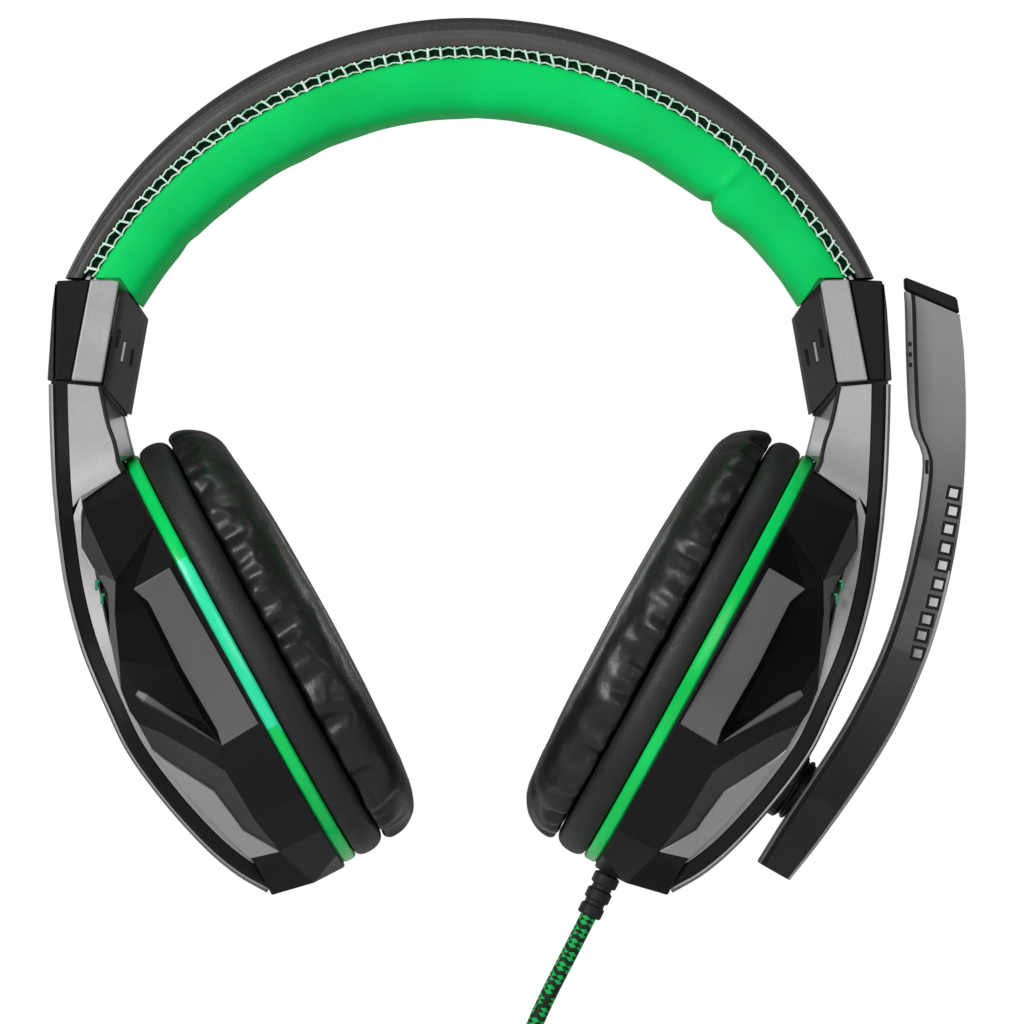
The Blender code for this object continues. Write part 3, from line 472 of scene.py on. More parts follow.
class Mesh:
    """Points and faces collected from several parts."""

    def __init__(self):
        self.points = []
        self.faces = []

    def rows(self, sections, loop=False):
        """A skin through closed sections. It has end faces, or with loop it joins up with its start."""
        start = len(self.points)
        size = len(sections[0])
        for section in sections:
            self.points += section
        for row in range(len(sections) if loop else len(sections) - 1):
            below = start + row * size
            above = start + (row + 1) % len(sections) * size
            for i in range(size):
                j = (i + 1) % size
                self.faces.append((below + i, below + j, above + j, above + i))
        if not loop:
            self.faces.append(tuple(range(start, start + size)))
            self.faces.append(tuple(range(len(self.points) - size, len(self.points))))
        return self

    def tube(self, path, radius, sides):
        """A round bar along a path. radius is one number or a function of the point's place in the path."""
        sections = []
        normal = None
        for i, point in enumerate(path):
            tangent = (path[min(i + 1, len(path) - 1)] - path[max(i - 1, 0)]).normalized()
            if normal is None:
                normal = tangent.orthogonal().normalized()
            normal = (normal - tangent * normal.dot(tangent)).normalized()
            side = tangent.cross(normal)
            size = radius(i) if callable(radius) else radius
            sections.append([
                point + (normal * math.cos(a) + side * math.sin(a)) * size
                for a in (2 * math.pi * k / sides for k in range(sides))
            ])
        return self.rows(sections)

    def thing(self, name):
        """A plain object of the mesh, with its faces turned outwards."""
        mesh = bpy.data.meshes.new(name)
        mesh.from_pydata([tuple(point) for point in self.points], [], self.faces)
        bm = bmesh.new()
        bm.from_mesh(mesh)
        bmesh.ops.recalc_face_normals(bm, faces=bm.faces)
        bm.to_mesh(mesh)
        bm.free()
        return linked(name, mesh)

    def piece(self, name, material, body, slot, smooth_angle, *nodes):
        """A shown piece. It stands for the named nodes of the frame, if any."""
        thing = self.thing(name)
        thing.data.materials.append(material)
        thing.data.shade_smooth()
        if smooth_angle:
            thing.data.set_sharp_from_angle(angle=math.radians(smooth_angle))
        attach(thing, body)
        if nodes:
            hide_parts(*nodes)
        return thing

    def on_cup(self, side, name, material, slot, smooth_angle, node=None):
        """A piece on one cup. Its name and the name of the node it stands for end in the side."""
        nodes = [node + "_" + side] if node else []
        return self.piece(name + "_" + side, material, "cup_" + side, slot, smooth_angle, *nodes)


def bevel(thing, width, segments=2, angle=20.0):
    """Rounded edges, with the faces between them shaded flat."""
    modifier = thing.modifiers.new("edges", "BEVEL")
    modifier.width = width
    modifier.segments = segments
    modifier.limit_method = "ANGLE"
    modifier.angle_limit = math.radians(angle)
    modifier.harden_normals = True


def subdivide(thing):
    modifier = thing.modifiers.new("fine", "SUBSURF")
    modifier.levels = 1
    modifier.render_levels = 1


def settle(thing):
    """The object's modifiers made part of its mesh."""
    graph = bpy.context.evaluated_depsgraph_get()
    solid = bpy.data.meshes.new_from_object(thing.evaluated_get(graph))
    thing.modifiers.clear()
    thing.data = solid


def cut(thing, cutter):
    """Cuts a mesh out of a thing."""
    holder = cutter.thing("cutter")
    modifier = thing.modifiers.new("cut", "BOOLEAN")
    modifier.operation = "DIFFERENCE"
    modifier.solver = "EXACT"
    modifier.object = holder
    bpy.context.view_layer.update()
    settle(thing)
    bpy.data.objects.remove(holder)


TURN_STEPS = 48
# Corners of a square, in order round it.
SQUARE = ((-1, -1), (1, -1), (1, 1), (-1, 1))


def block(mesh, local, centre, size, turn=0.0):
    """A box in a local frame: centre and size as (u, y, n) in millimetres, turned in the u-n plane."""
    c, s = math.cos(turn), math.sin(turn)
    sections = []
    for y in (-0.5, 0.5):
        section = []
        for du, dn in SQUARE:
            du, dn = du * size[0] / 2, dn * size[2] / 2
            place = (centre[0] + du * c - dn * s, centre[1] + y * size[1], centre[2] + du * s + dn * c)
            section.append(local(*place))
        sections.append(section)
    return mesh.rows(sections)


def turned(local, profile):
    """Radius and out along the local axis, turned all the way round."""
    sections = []
    for step in range(TURN_STEPS):
        angle = 2 * math.pi * step / TURN_STEPS
        sections.append([local(r * math.cos(angle), r * math.sin(angle), n) for r, n in profile])
    return Mesh().rows(sections, loop=True)


def rounded(value, power):
    """A cosine or sine bent towards a rounder or squarer outline."""
    return math.copysign(abs(value) ** power, value)


# ---- Cord ---------------------------------------------------------------------------------------

CORD_DIAMETER = 3.8 * MM
CORD_LAYER_Y = 1.9
CORD_ROUTE = [
    (27.6, 0.0, -182.9), (23.2, 0.0, -191.6), (17.4, -0.4, -203.0), (12.7, -1.2, -213.8), (9.9, -1.9, -222.0),
]
TAIL_ROUTE = [(9.2, 1.9, -312.8), (9.3, 1.6, -320.0), (9.6, 0.8, -327.5), (10.0, 0.0, -334.6)]
HANK_CENTRE = (32.0, -268.0)
HANK_HALF_RUN = 30.0
HANK_RADII = (22.8, 19.0, 15.2, 11.4)
HANK_RUN_STEPS = 5
HANK_ARC_STEPS = 10
CORD_SPACING = 1.3 * MM
CORD_SIDES = 14


def left_run(radius, layer):
    """Down the left side of a turn."""
    x, z = HANK_CENTRE
    drops = [2 * HANK_HALF_RUN * i / HANK_RUN_STEPS for i in range(HANK_RUN_STEPS + 1)]
    return [(x - radius, layer, z + HANK_HALF_RUN - drop) for drop in drops]


def hank_turn(start, end, near, far):
    """One turn from the top of the left run, whose radius and layer change over the top arc."""
    x, z = HANK_CENTRE
    found = left_run(start, near)[:-1]
    for i in range(HANK_ARC_STEPS):
        angle = math.pi + math.pi * i / HANK_ARC_STEPS
        found.append((x + start * math.cos(angle), near, z - HANK_HALF_RUN + start * math.sin(angle)))
    for i in range(HANK_RUN_STEPS):
        found.append((x + start, near, z - HANK_HALF_RUN + 2 * HANK_HALF_RUN * i / HANK_RUN_STEPS))
    for i in range(HANK_ARC_STEPS):
        share = i / HANK_ARC_STEPS
        eased = share * share * (3 - 2 * share)
        radius = start + (end - start) * eased
        angle = math.pi * share
        y = near + (far - near) * eased
        found.append((x + radius * math.cos(angle), y, z + HANK_HALF_RUN + radius * math.sin(angle)))
    return found


def cord_path():
    """From the strain relief into one layer of turns, back out in the other, and down to the plug."""
    path = CORD_ROUTE + [(9.3, -CORD_LAYER_Y, -230.5)]
    for i, radius in enumerate(HANK_RADII):
        last = i == len(HANK_RADII) - 1
        following = radius if last else HANK_RADII[i + 1]
        path += hank_turn(radius, following, -CORD_LAYER_Y, CORD_LAYER_Y if last else -CORD_LAYER_Y)
    outwards = HANK_RADII[::-1]
    for radius, following in zip(outwards, outwards[1:]):
        path += hank_turn(radius, following, CORD_LAYER_Y, CORD_LAYER_Y)
    path += left_run(outwards[-1], CORD_LAYER_Y) + TAIL_ROUTE
    return [Vector(point) * MM for point in smooth(path, 6)]


def build_cord(with_pieces):
    """The cord, with u and v laid along it for the braid."""
    fine = cord_path()
    length = sum((second - first).length for first, second in zip(fine, fine[1:]))
    path = resampled(fine, round(length / CORD_SPACING))
    mesh = Mesh().tube(path, CORD_DIAMETER / 2, CORD_SIDES)
    cord = mesh.piece("cord", BRAID, "cup_left", "braid", 60.0, "cord_lead", "cord_hank", "cord_tail")
    layer = cord.data.uv_layers.new(name="braid")
    for polygon in cord.data.polygons:
        places = [cord.data.loops[i].vertex_index for i in polygon.loop_indices]
        around = [index % CORD_SIDES for index in places]
        wraps = max(around) - min(around) > CORD_SIDES / 2
        for i, index, side in zip(polygon.loop_indices, places, around):
            u = (side + CORD_SIDES if wraps and side < CORD_SIDES / 2 else side) / CORD_SIDES
            layer.data[i].uv = (u, index // CORD_SIDES * length / (len(path) - 1))


RELIEF_START = (33.4, 0.0, -170.6)
RELIEF_END = (26.8, 0.0, -184.5)
RELIEF_BLOCKS = 4
RELIEF_R = 3.2
RELIEF_NECK_R = 2.35
RELIEF_TAPER = 0.12
RELIEF_ROUND = 0.35


def build_strain_relief():
    """Rounded blocks with narrow necks between them."""
    start, end = Vector(RELIEF_START) * MM, Vector(RELIEF_END) * MM
    stops = []
    for i in range(RELIEF_BLOCKS):
        radius = RELIEF_R - RELIEF_TAPER * i
        edge = radius - RELIEF_ROUND
        stops += [(i, edge), (i + 0.08, radius), (i + 0.62, radius), (i + 0.70, edge)]
        if i < RELIEF_BLOCKS - 1:
            stops += [(i + 0.73, RELIEF_NECK_R), (i + 0.97, RELIEF_NECK_R)]
    path = [start.lerp(end, place / RELIEF_BLOCKS) for place, _ in stops]
    radii = [radius * MM for _, radius in stops]
    mesh = Mesh().tube(path, lambda i: radii[i], 28)
    return mesh.piece("cord_sleeve", RUBBER, "cup_left", "black_rubber", 40.0, "strain_relief")


TIE_STEPS = 64
TIE_SQUARENESS = 0.35
TIE_THICKNESS = 0.7 * MM
# Share of a turn that the tie's free end laps over itself.
TIE_LAP = 0.42


def build_tie():
    """One closed turn round the hank, and the free end lapped over it."""
    low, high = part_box("cord_tie")
    centre = (low + high) / 2
    half = (high - low) / 2 - Vector((0.3, 0.3, 0.0)) * MM
    mesh = Mesh()
    for grow, height, drop in ((0.0, half.z, 0.0), (0.9 * MM, half.z * 0.98, 0.2 * MM)):
        outline = []
        share = 1.0 if grow == 0.0 else TIE_LAP
        for i in range(TIE_STEPS + 1):
            angle = 2 * math.pi * share * i / TIE_STEPS - math.pi * 0.8
            x = rounded(math.cos(angle), TIE_SQUARENESS) * (half.x + grow - 1.2 * MM)
            y = rounded(math.sin(angle), TIE_SQUARENESS) * (half.y + grow - 0.6 * MM)
            outline.append((x, y))
        sections = []
        for x, y in outline:
            out = Vector((x, y, 0.0)).normalized() * TIE_THICKNESS
            base = centre + Vector((x, y, -drop))
            up = Vector((0.0, 0.0, height))
            sections.append([base - up, base + up, base + up + out, base - up + out])
        mesh.rows(sections, loop=grow == 0.0)
    return mesh.piece("hank_tie", TIE_FABRIC, "cup_left", "tie_fabric", 50.0, "cord_tie")


# Share of the grip's height from its open end, and share of its full width there.
GRIP_STOPS = [(0.0, 0.86), (0.03, 0.97), (0.1, 1.0), (0.62, 1.0), (0.8, 0.9), (0.92, 0.66), (1.0, 0.5)]
GRIP_SIDES = 32
GRIP_BARS = 5


def build_plug():
    """The plug's grip, with raised bars on both faces."""
    low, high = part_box("usb_grip")
    centre, size = (low + high) / 2, high - low
    sections = []
    for share, grow in GRIP_STOPS:
        section = []
        for i in range(GRIP_SIDES):
            angle = 2 * math.pi * i / GRIP_SIDES
            section.append(Vector((
                centre.x + rounded(math.cos(angle), 0.5) * size.x / 2 * grow,
                centre.y + rounded(math.sin(angle), 0.5) * size.y / 2 * (0.5 + 0.5 * grow),
                low.z + size.z * share,
            )))
        sections.append(section)
    mesh = Mesh().rows(sections)
    for i in range(GRIP_BARS):
        z = low.z + size.z * (0.2 + 0.075 * i)
        for y in (-1, 1):
            edge = centre.y + y * size.y * 0.47
            bar = [Vector((centre.x + x * size.x * 0.3, edge, z)) for x in (-1.0, -0.5, 0.0, 0.5, 1.0)]
            mesh.tube(bar, 0.5 * MM, 8)
    return mesh.piece("plug_grip", RUBBER, "cup_left", "black_rubber", 40.0, "usb_grip")


# ---- Headband -----------------------------------------------------------------------------------

PAD_INNER_R = 79.0
SEAM_R = 93.6
BAND_OUTER_R = 101.8
PAD_FLARE = 6.5
SEAM_FLARE = 5.0
CAP_TOP = [(79.85, -37.0), (73.7, -46.0)]
BAND_STATIONS = 260
COVER_START = 1.2
PAD_START = -1.2
# Half of each section: half width in millimetres, and share of the layer's thickness.
COVER_SECTION = [
    (14.5, 0.0), (16.3, 0.02), (17.0, 0.12), (17.45, 0.3), (17.2, 0.46), (16.6, 0.53), (16.5, 0.59),
    (16.4, 0.68), (15.7, 0.82), (14.0, 0.93), (11.0, 0.975), (5.5, 0.995), (0.0, 1.0),
]
PAD_SECTION = [
    (14.5, 0.0), (16.2, 0.01), (17.0, 0.06), (17.5, 0.16), (17.7, 0.32), (17.55, 0.5), (17.0, 0.67),
    (15.9, 0.81), (14.0, 0.91), (10.5, 0.975), (5.0, 0.997), (0.0, 1.0),
]
# Share of the cover's thickness beyond which it takes the darker leather, which also paints the shade of the
# top face.
CROWN_SHARE = 0.62
PAD_CREASE = math.radians(42.8)
PAD_KINK = math.radians(-52.0)
GUSSET_STEPS = 120
GUSSET_SECTION = [(1.9, 15.9), (-1.9, 15.9), (-1.9, 14.0), (1.9, 14.0)]
LACE_PITCH = 3.2
THREAD_R = 0.2 * MM


def flare(angle):
    return math.sin(angle) ** 4


def band_point(angle, radius, y):
    return Vector((radius * math.sin(angle), y, radius * math.cos(angle) - PAD_INNER_R)) * MM


def seam_radius(angle):
    return SEAM_R + SEAM_FLARE * flare(angle)


def pad_radius(angle):
    return PAD_INNER_R + PAD_FLARE * flare(angle)


def beyond_cap(angle, radius):
    """Whether a band point lies below the cap's top edge."""
    x, z = radius * math.sin(angle), radius * math.cos(angle) - PAD_INNER_R
    (x0, z0), (x1, z1) = CAP_TOP
    top = z0 if x >= x0 else z0 + (x - x0) * (z1 - z0) / (x1 - x0)
    return z < top


def end_angle(radius_at):
    """Where a line along the band meets the cap."""
    low, high = math.radians(50.0), math.radians(75.0)
    for _ in range(30):
        middle = (low + high) / 2
        if beyond_cap(middle, radius_at(middle)):
            high = middle
        else:
            low = middle
    return low


def bump_at(angle, centre, width):
    return math.exp(-(((angle - centre) / width) ** 2))


def pad_shift(angle, y, share):
    """Millimetres that the pad's surface moves towards the band: a sewn crease, a kink and slack."""
    crease = 1.3 * bump_at(angle, PAD_CREASE, math.radians(0.8))
    step = 0.9 * bump_at(angle, PAD_CREASE + math.radians(3.2), math.radians(2.4))
    kink = 0.5 * bump_at(angle, PAD_KINK, math.radians(1.6))
    place = Vector((angle * 9.0, y * 0.12, 4.0))
    return (crease + kink - step + 0.35 * noise.noise(place)) * share


def layer_sections(profile, near, far, shift):
    """Full sections of a layer from cap to cap."""
    half = smooth(profile, 2)
    full = half + [(-y, share) for y, share in reversed(half[:-1])]
    ends = []
    for _, share in full:
        ends.append(end_angle(lambda a, share=share: near(a) + (far(a) - near(a)) * share))
    sections = []
    for i in range(BAND_STATIONS + 1):
        t = 2 * i / BAND_STATIONS - 1
        section = []
        for (y, share), end in zip(full, ends):
            angle = t * end
            side, drop = shift(angle, y, share)
            radius = near(angle) + (far(angle) - near(angle)) * share
            section.append(band_point(angle, radius + drop, y + math.copysign(side, y)))
        sections.append(section)
    return sections


def cover_shift(angle, y, share):
    """Slight unevenness of the stretched cover, strongest at its sewn edge."""
    edge = max(0.0, 1.0 - share * 2.2)
    ripple = noise.noise(Vector((angle * 42.0, 1.7 if y > 0 else 6.1, share))) * 0.35 * edge
    return ripple + 0.2 * noise.noise(Vector((angle * 8.0, share * 2.0, 9.0))), -0.15 * edge


def pad_offsets(angle, y, share):
    edge = max(0.0, 1.0 - share * 4.0)
    pucker = math.cos(angle * SEAM_R / LACE_PITCH * 2 * math.pi) * 0.22 * edge
    side = -0.9 * bump_at(angle, PAD_CREASE, math.radians(0.7)) * (1 - abs(share - 0.5))
    return pucker + side, pad_shift(angle, y, share)


def build_headband():
    """Cover and pad, and the dark lining and lacing in the seams between them."""
    cover = Mesh().rows(layer_sections(
        COVER_SECTION, lambda a: seam_radius(a) + COVER_START, lambda a: BAND_OUTER_R, cover_shift
    )).piece("crown_cover", COVER_LEATHER, "headband", "cover_leather", 60.0, "headband_cover")
    # Two tones of leather: the darker one on the outer part towards the crown is partly the leather's own
    # tone and partly painted shade of the top face turned from the lights.
    cover.data.materials.append(CROWN_LEATHER)
    for polygon in cover.data.polygons:
        x, z = polygon.center.x / MM, polygon.center.z / MM + PAD_INNER_R
        near = seam_radius(math.atan2(x, z))
        polygon.material_index = int(math.hypot(x, z) > near + (BAND_OUTER_R - near) * CROWN_SHARE)
    pad = Mesh().rows(layer_sections(
        PAD_SECTION, lambda a: seam_radius(a) + PAD_START, pad_radius, pad_offsets
    )).piece("crown_pad", GREEN_FABRIC, "headband", "green_fabric", 60.0, "headband_pad")
    gusset = Mesh()
    ends = end_angle(seam_radius) - math.radians(0.4)
    for face, sign in FACES.items():
        sections = []
        for i in range(GUSSET_STEPS + 1):
            angle = (2 * i / GUSSET_STEPS - 1) * ends
            sections.append([
                band_point(angle, seam_radius(angle) + rise, sign * y) for rise, y in GUSSET_SECTION
            ])
        gusset.rows(sections)
        build_lacing(face, sign, ends)
    gusset.piece("band_gusset", GAP_CLOTH, "headband", "green_fabric", 40.0)


def build_lacing(face, sign, ends):
    """Two running threads and the rungs between them, all the way along a seam."""
    draw = random.Random(11 if face == "front" else 12)
    mesh = Mesh()
    count = round(2 * ends * SEAM_R / LACE_PITCH)
    outer, inner = [], []
    for i in range(count * 4 + 1):
        angle = (2 * i / (count * 4) - 1) * ends
        lift = 0.22 * math.cos(i * math.pi / 2)
        radius = seam_radius(angle)
        outer.append(band_point(angle, radius + 0.95 + lift, sign * (17.0 - 0.25 * abs(lift))))
        inner.append(band_point(angle, radius - 1.0 + lift * 0.8, sign * 17.05))
    mesh.tube(outer, THREAD_R, 6)
    mesh.tube(inner, THREAD_R, 6)
    for i in range(count):
        angle = (2 * (i + 0.5 + draw.uniform(-0.1, 0.1)) / count - 1) * ends
        lean = math.radians(draw.uniform(-0.2, 0.9))
        radius = seam_radius(angle)
        rung = [
            band_point(angle - lean / 2, radius + 1.25, sign * 16.9),
            band_point(angle - lean / 5, radius + 0.5, sign * 17.25),
            band_point(angle + lean / 5, radius - 0.5, sign * 17.25),
            band_point(angle + lean / 2, radius - 1.4, sign * 16.95),
        ]
        mesh.tube(rung, THREAD_R * draw.uniform(1.1, 1.5), 6)
    mesh.piece("lacing_" + face, THREAD, "headband", "green_fabric", 60.0)


# ---- End caps -----------------------------------------------------------------------------------

# Outline (x, z), half depth at its inner and outer edge, material and slot of each outer part.
CAP_PARTS = {
    "end_cap_outer": (
        [(94.5, -37.7), (86.9, -37.4), (91.3, -60.5), (95.0, -60.5)], 16.2, 15.6,
        BLACK_PLASTIC, "black_plastic",
    ),
    # The side's darker silver is painted shade.
    "end_cap_side": (
        [(94.8, -38.2), (95.5, -44.0), (96.6, -60.5), (95.2, -60.5)], 15.5, 15.5,
        SILVER_PAINTED_SHADE, "silver_paint",
    ),
    "end_cap_facet": (
        [(86.7, -37.4), (80.0, -37.4), (84.1, -61.0), (91.1, -60.5)], 16.9, 17.6,
        SILVER_PAINT, "silver_paint",
    ),
}
SLEEVE = [(79.7, -38.0), (74.3, -46.1), (78.2, -68.2), (83.8, -61.6)]
SLEEVE_HALF = 14.5
GASKET = [(95.6, -60.2), (84.6, -60.8), (79.0, -67.6), (79.2, -68.6), (84.5, -62.6), (95.9, -61.4)]
# Centre (x, z), length and width of each slot in the sleeve.
SLOTS = [((80.5, -50.9), 4.2, 0.8), ((79.25, -53.9), 5.0, 0.7), ((77.3, -55.3), 3.8, 0.7)]
SLOT_LEAN = math.radians(10.0)
SLOT_DEPTH = 1.6
GUIDE_R = 0.42


def outline_mesh(mesh, sign, outline, inner_half, outer_half):
    """A plate whose front leans: its half depth changes from the inner to the outer edge."""
    xs = [x for x, _ in outline]
    low, high = min(xs), max(xs)
    sections = []
    for face in (-1, 1):
        section = []
        for x, z in outline:
            share = (x - low) / (high - low)
            half = inner_half + (outer_half - inner_half) * share
            section.append(Vector((sign * x, face * half, z)) * MM)
        sections.append(section)
    return mesh.rows(sections)


def slot_ways(sign):
    """The directions along and across the slots."""
    c, s = math.cos(SLOT_LEAN), math.sin(SLOT_LEAN)
    return Vector((sign * s, 0.0, -c)), Vector((sign * c, 0.0, s))


def cut_slots(sleeve, sign):
    along, across = slot_ways(sign)
    cutter = Mesh()
    for (x, z), length, width in SLOTS:
        for face in (-1, 1):
            sections = []
            for y in (SLEEVE_HALF - SLOT_DEPTH, SLEEVE_HALF + 1.0):
                centre = Vector((sign * x, face * y, z))
                sections.append([
                    (centre + along * a * length / 2 + across * b * width / 2) * MM for a, b in SQUARE
                ])
            cutter.rows(sections)
    cut(sleeve, cutter)


def build_slot_guide(side):
    """A pale rod in the middle slot of both faces."""
    along, _ = slot_ways(SIDES[side])
    (x, z), length, _ = SLOTS[1]
    guide = Mesh()
    for face in (-1, 1):
        centre = Vector((SIDES[side] * x, face * (SLEEVE_HALF - 0.5), z))
        guide.tube([(centre + along * (length / 2 * way)) * MM for way in (-0.9, 0.9)], GUIDE_R * MM, 12)
    guide.piece("slot_guide_" + side, PALE_PLASTIC, "headband", "steel", 40.0)


def build_end_cap(side):
    """The black lip above the arm, the three outer parts and the slotted sleeve."""
    sign = SIDES[side]
    gasket = outline_mesh(Mesh(), sign, GASKET, 13.6, 14.9)
    gasket.piece("cap_gasket_" + side, RUBBER, "headband", "black_rubber", 30.0)
    for name, (outline, inner_half, outer_half, material, slot) in CAP_PARTS.items():
        part = outline_mesh(Mesh(), sign, outline, inner_half, outer_half)
        part = part.piece(name + "_shell_" + side, material, "headband", slot, None, name + "_" + side)
        bevel(part, 0.45 * MM, 3)
    node = "end_cap_sleeve_" + side
    name = "end_cap_sleeve_shell_" + side
    sleeve = outline_mesh(Mesh(), sign, SLEEVE, SLEEVE_HALF, SLEEVE_HALF)
    sleeve = sleeve.piece(name, DARK_PLASTIC, "headband", "dark_plastic", None, node)
    cut_slots(sleeve, sign)
    build_slot_guide(side)
    bevel(sleeve, 0.35 * MM, 2, 40.0)


# ---- Arms, back plates and skins ----------------------------------------------------------------

# Up, out, half depth and the frame's depth down the cup's outer contour.
CONTOUR = [
    (76.3, 8.4, 15.5, 0.0), (70.0, 11.7, 15.6, 0.0), (62.0, 15.7, 16.2, 0.0), (55.5, 18.8, 17.4, 0.0),
    (50.6, 20.9, 18.6, 7.2), (46.1, 22.8, 20.0, 7.4), (33.0, 27.5, 25.0, 8.4), (19.0, 30.8, 28.5, 7.8),
    (4.2, 32.3, 29.5, 6.4), (-7.2, 32.8, 28.5, 6.4), (-21.0, 31.0, 25.0, 7.0), (-34.0, 28.0, 20.0, 7.4),
    (-43.0, 24.6, 15.5, 7.0), (-50.1, 20.4, 11.0, 6.6),
]
CONTOUR_STEPS = 6
# Contour row, then (up, out, half depth) of the arm's seam and of its inner edge there.
ARM = [
    (0, (70.0, -1.9, 15.0), (69.6, -2.1, 13.0)),
    (6, (62.3, 0.4, 16.0), (61.9, -3.2, 11.0)),
    (12, (57.5, 1.2, 16.8), (56.5, -1.7, 10.5)),
    (18, (54.0, 2.2, 17.5), (52.8, -0.8, 11.0)),
    (21, (53.0, 2.6, 17.8), (52.6, 1.95, 12.0)),
    (24, (50.4, 2.8, 18.0), (49.9, 2.3, 14.0)),
    (27, (50.1, 13.9, 19.0), (49.6, 13.6, 18.0)),
]
SKIN_THICKNESS = 1.3
# Up and out of the place below which the skin's outer face is painted in shade with darker silver, and the
# section's faces that get the painted shade.
SKIN_SHADE_LINE = (22.0, 30.2)
SKIN_SHADED_FACES = (1, 2, 3, 4, 5)
PLATE_DEPTHS = (1.5, 4.5)
FRAME_DEPTH = 4.7


def contour_rows():
    """Up and out, half depth, frame depth and the inward direction, down the cup's outer contour."""
    rows = smooth(CONTOUR, CONTOUR_STEPS)
    found = []
    for i, row in enumerate(rows):
        before = rows[max(i - 1, 0)]
        after = rows[min(i + 1, len(rows) - 1)]
        tangent = Vector((after[0] - before[0], after[1] - before[1])).normalized()
        found.append((Vector(row[:2]), row[2], row[3], Vector((-tangent.y, tangent.x))))
    return found


def mirrored_section(local, half_section):
    """A closed section from its front half, given as (place, half depth)."""
    front = [local(place.x, -half, place.y) for place, half in half_section]
    back = [local(place.x, half, place.y) for place, half in reversed(half_section)]
    return front + back


def build_skin_and_plate(side, rows):
    local = CUPS[side]
    skin, plate = [], []
    for point, half, _, inward in rows:
        skin.append(mirrored_section(local, [
            (point + inward * SKIN_THICKNESS, half + 0.1), (point + inward * 0.85, half + 0.15),
            (point + inward * 0.3, half * 0.8), (point, half * 0.4),
        ]))
        plate.append(mirrored_section(local, [
            (point + inward * PLATE_DEPTHS[1], half + 0.5),
            (point + inward * (PLATE_DEPTHS[0] + 0.5), half + 0.75),
            (point + inward * PLATE_DEPTHS[0], half + 0.3),
        ]))
    size = len(skin[0])
    skin = Mesh().rows(skin).on_cup(side, "side_skin_shell", SILVER_PAINT, "silver_paint", 50.0, "side_skin")
    skin.data.materials.append(SILVER_PAINTED_SHADE)
    # Painted shade: the outer faces below the shade line get the darker silver.
    shade_line = local(SKIN_SHADE_LINE[0], 0.0, SKIN_SHADE_LINE[1]).z
    for i, polygon in enumerate(skin.data.polygons):
        polygon.material_index = int(i % size in SKIN_SHADED_FACES and polygon.center.z < shade_line)
    Mesh().rows(plate).on_cup(side, "back_plate_shell", BLACK_PLASTIC, "black_plastic", 30.0, "back_plate")


def build_arm(side):
    """The arm, which widens into the frame behind the housing, and the dark seams on it."""
    local = CUPS[side]
    rows = contour_rows()
    build_skin_and_plate(side, rows)
    sections = []
    for row, seam, inner in ARM:
        point, half, _, inward = rows[row]
        outer = point + inward * FRAME_DEPTH
        sections.append(mirrored_section(local, [
            (Vector(inner[:2]), inner[2]), (Vector(seam[:2]), seam[2]), (outer, half + 0.4),
        ]))
    for point, half, depth, inward in rows[ARM[-1][0] + 1:]:
        sections.append(mirrored_section(local, [
            (point + inward * depth, half), (point + inward * (depth - 0.4), half + 0.5),
            (point + inward * FRAME_DEPTH, half + 0.4),
        ]))
    seams = Mesh()
    for face in (-1, 1):
        places = [(u, n, half) for _, (u, n, half), _ in ARM[:6]]
        seams.tube([local(u, face * (half - 0.1), n) for u, n, half in smooth(places, 4)], 0.5 * MM, 10)
    seams.on_cup(side, "arm_seam", RUBBER, "black_rubber", 60.0)
    Mesh().rows(sections).on_cup(side, "arm_shell", SILVER_PAINT, "silver_paint", 25.0, "arm_frame")


# ---- Cup housings -------------------------------------------------------------------------------

OVAL_POWER = 2.25
HOUSING_HALF_HEIGHT = 53.8
HOUSING_HALF_WIDTH = 43.2
HOUSING_BASE = 1.9
RIM_HEIGHTS = [50.5, 45.0, 36.0, 26.0, 14.0, 2.0, -15.0, -24.0, -34.0, -43.0, -50.0, -53.4]
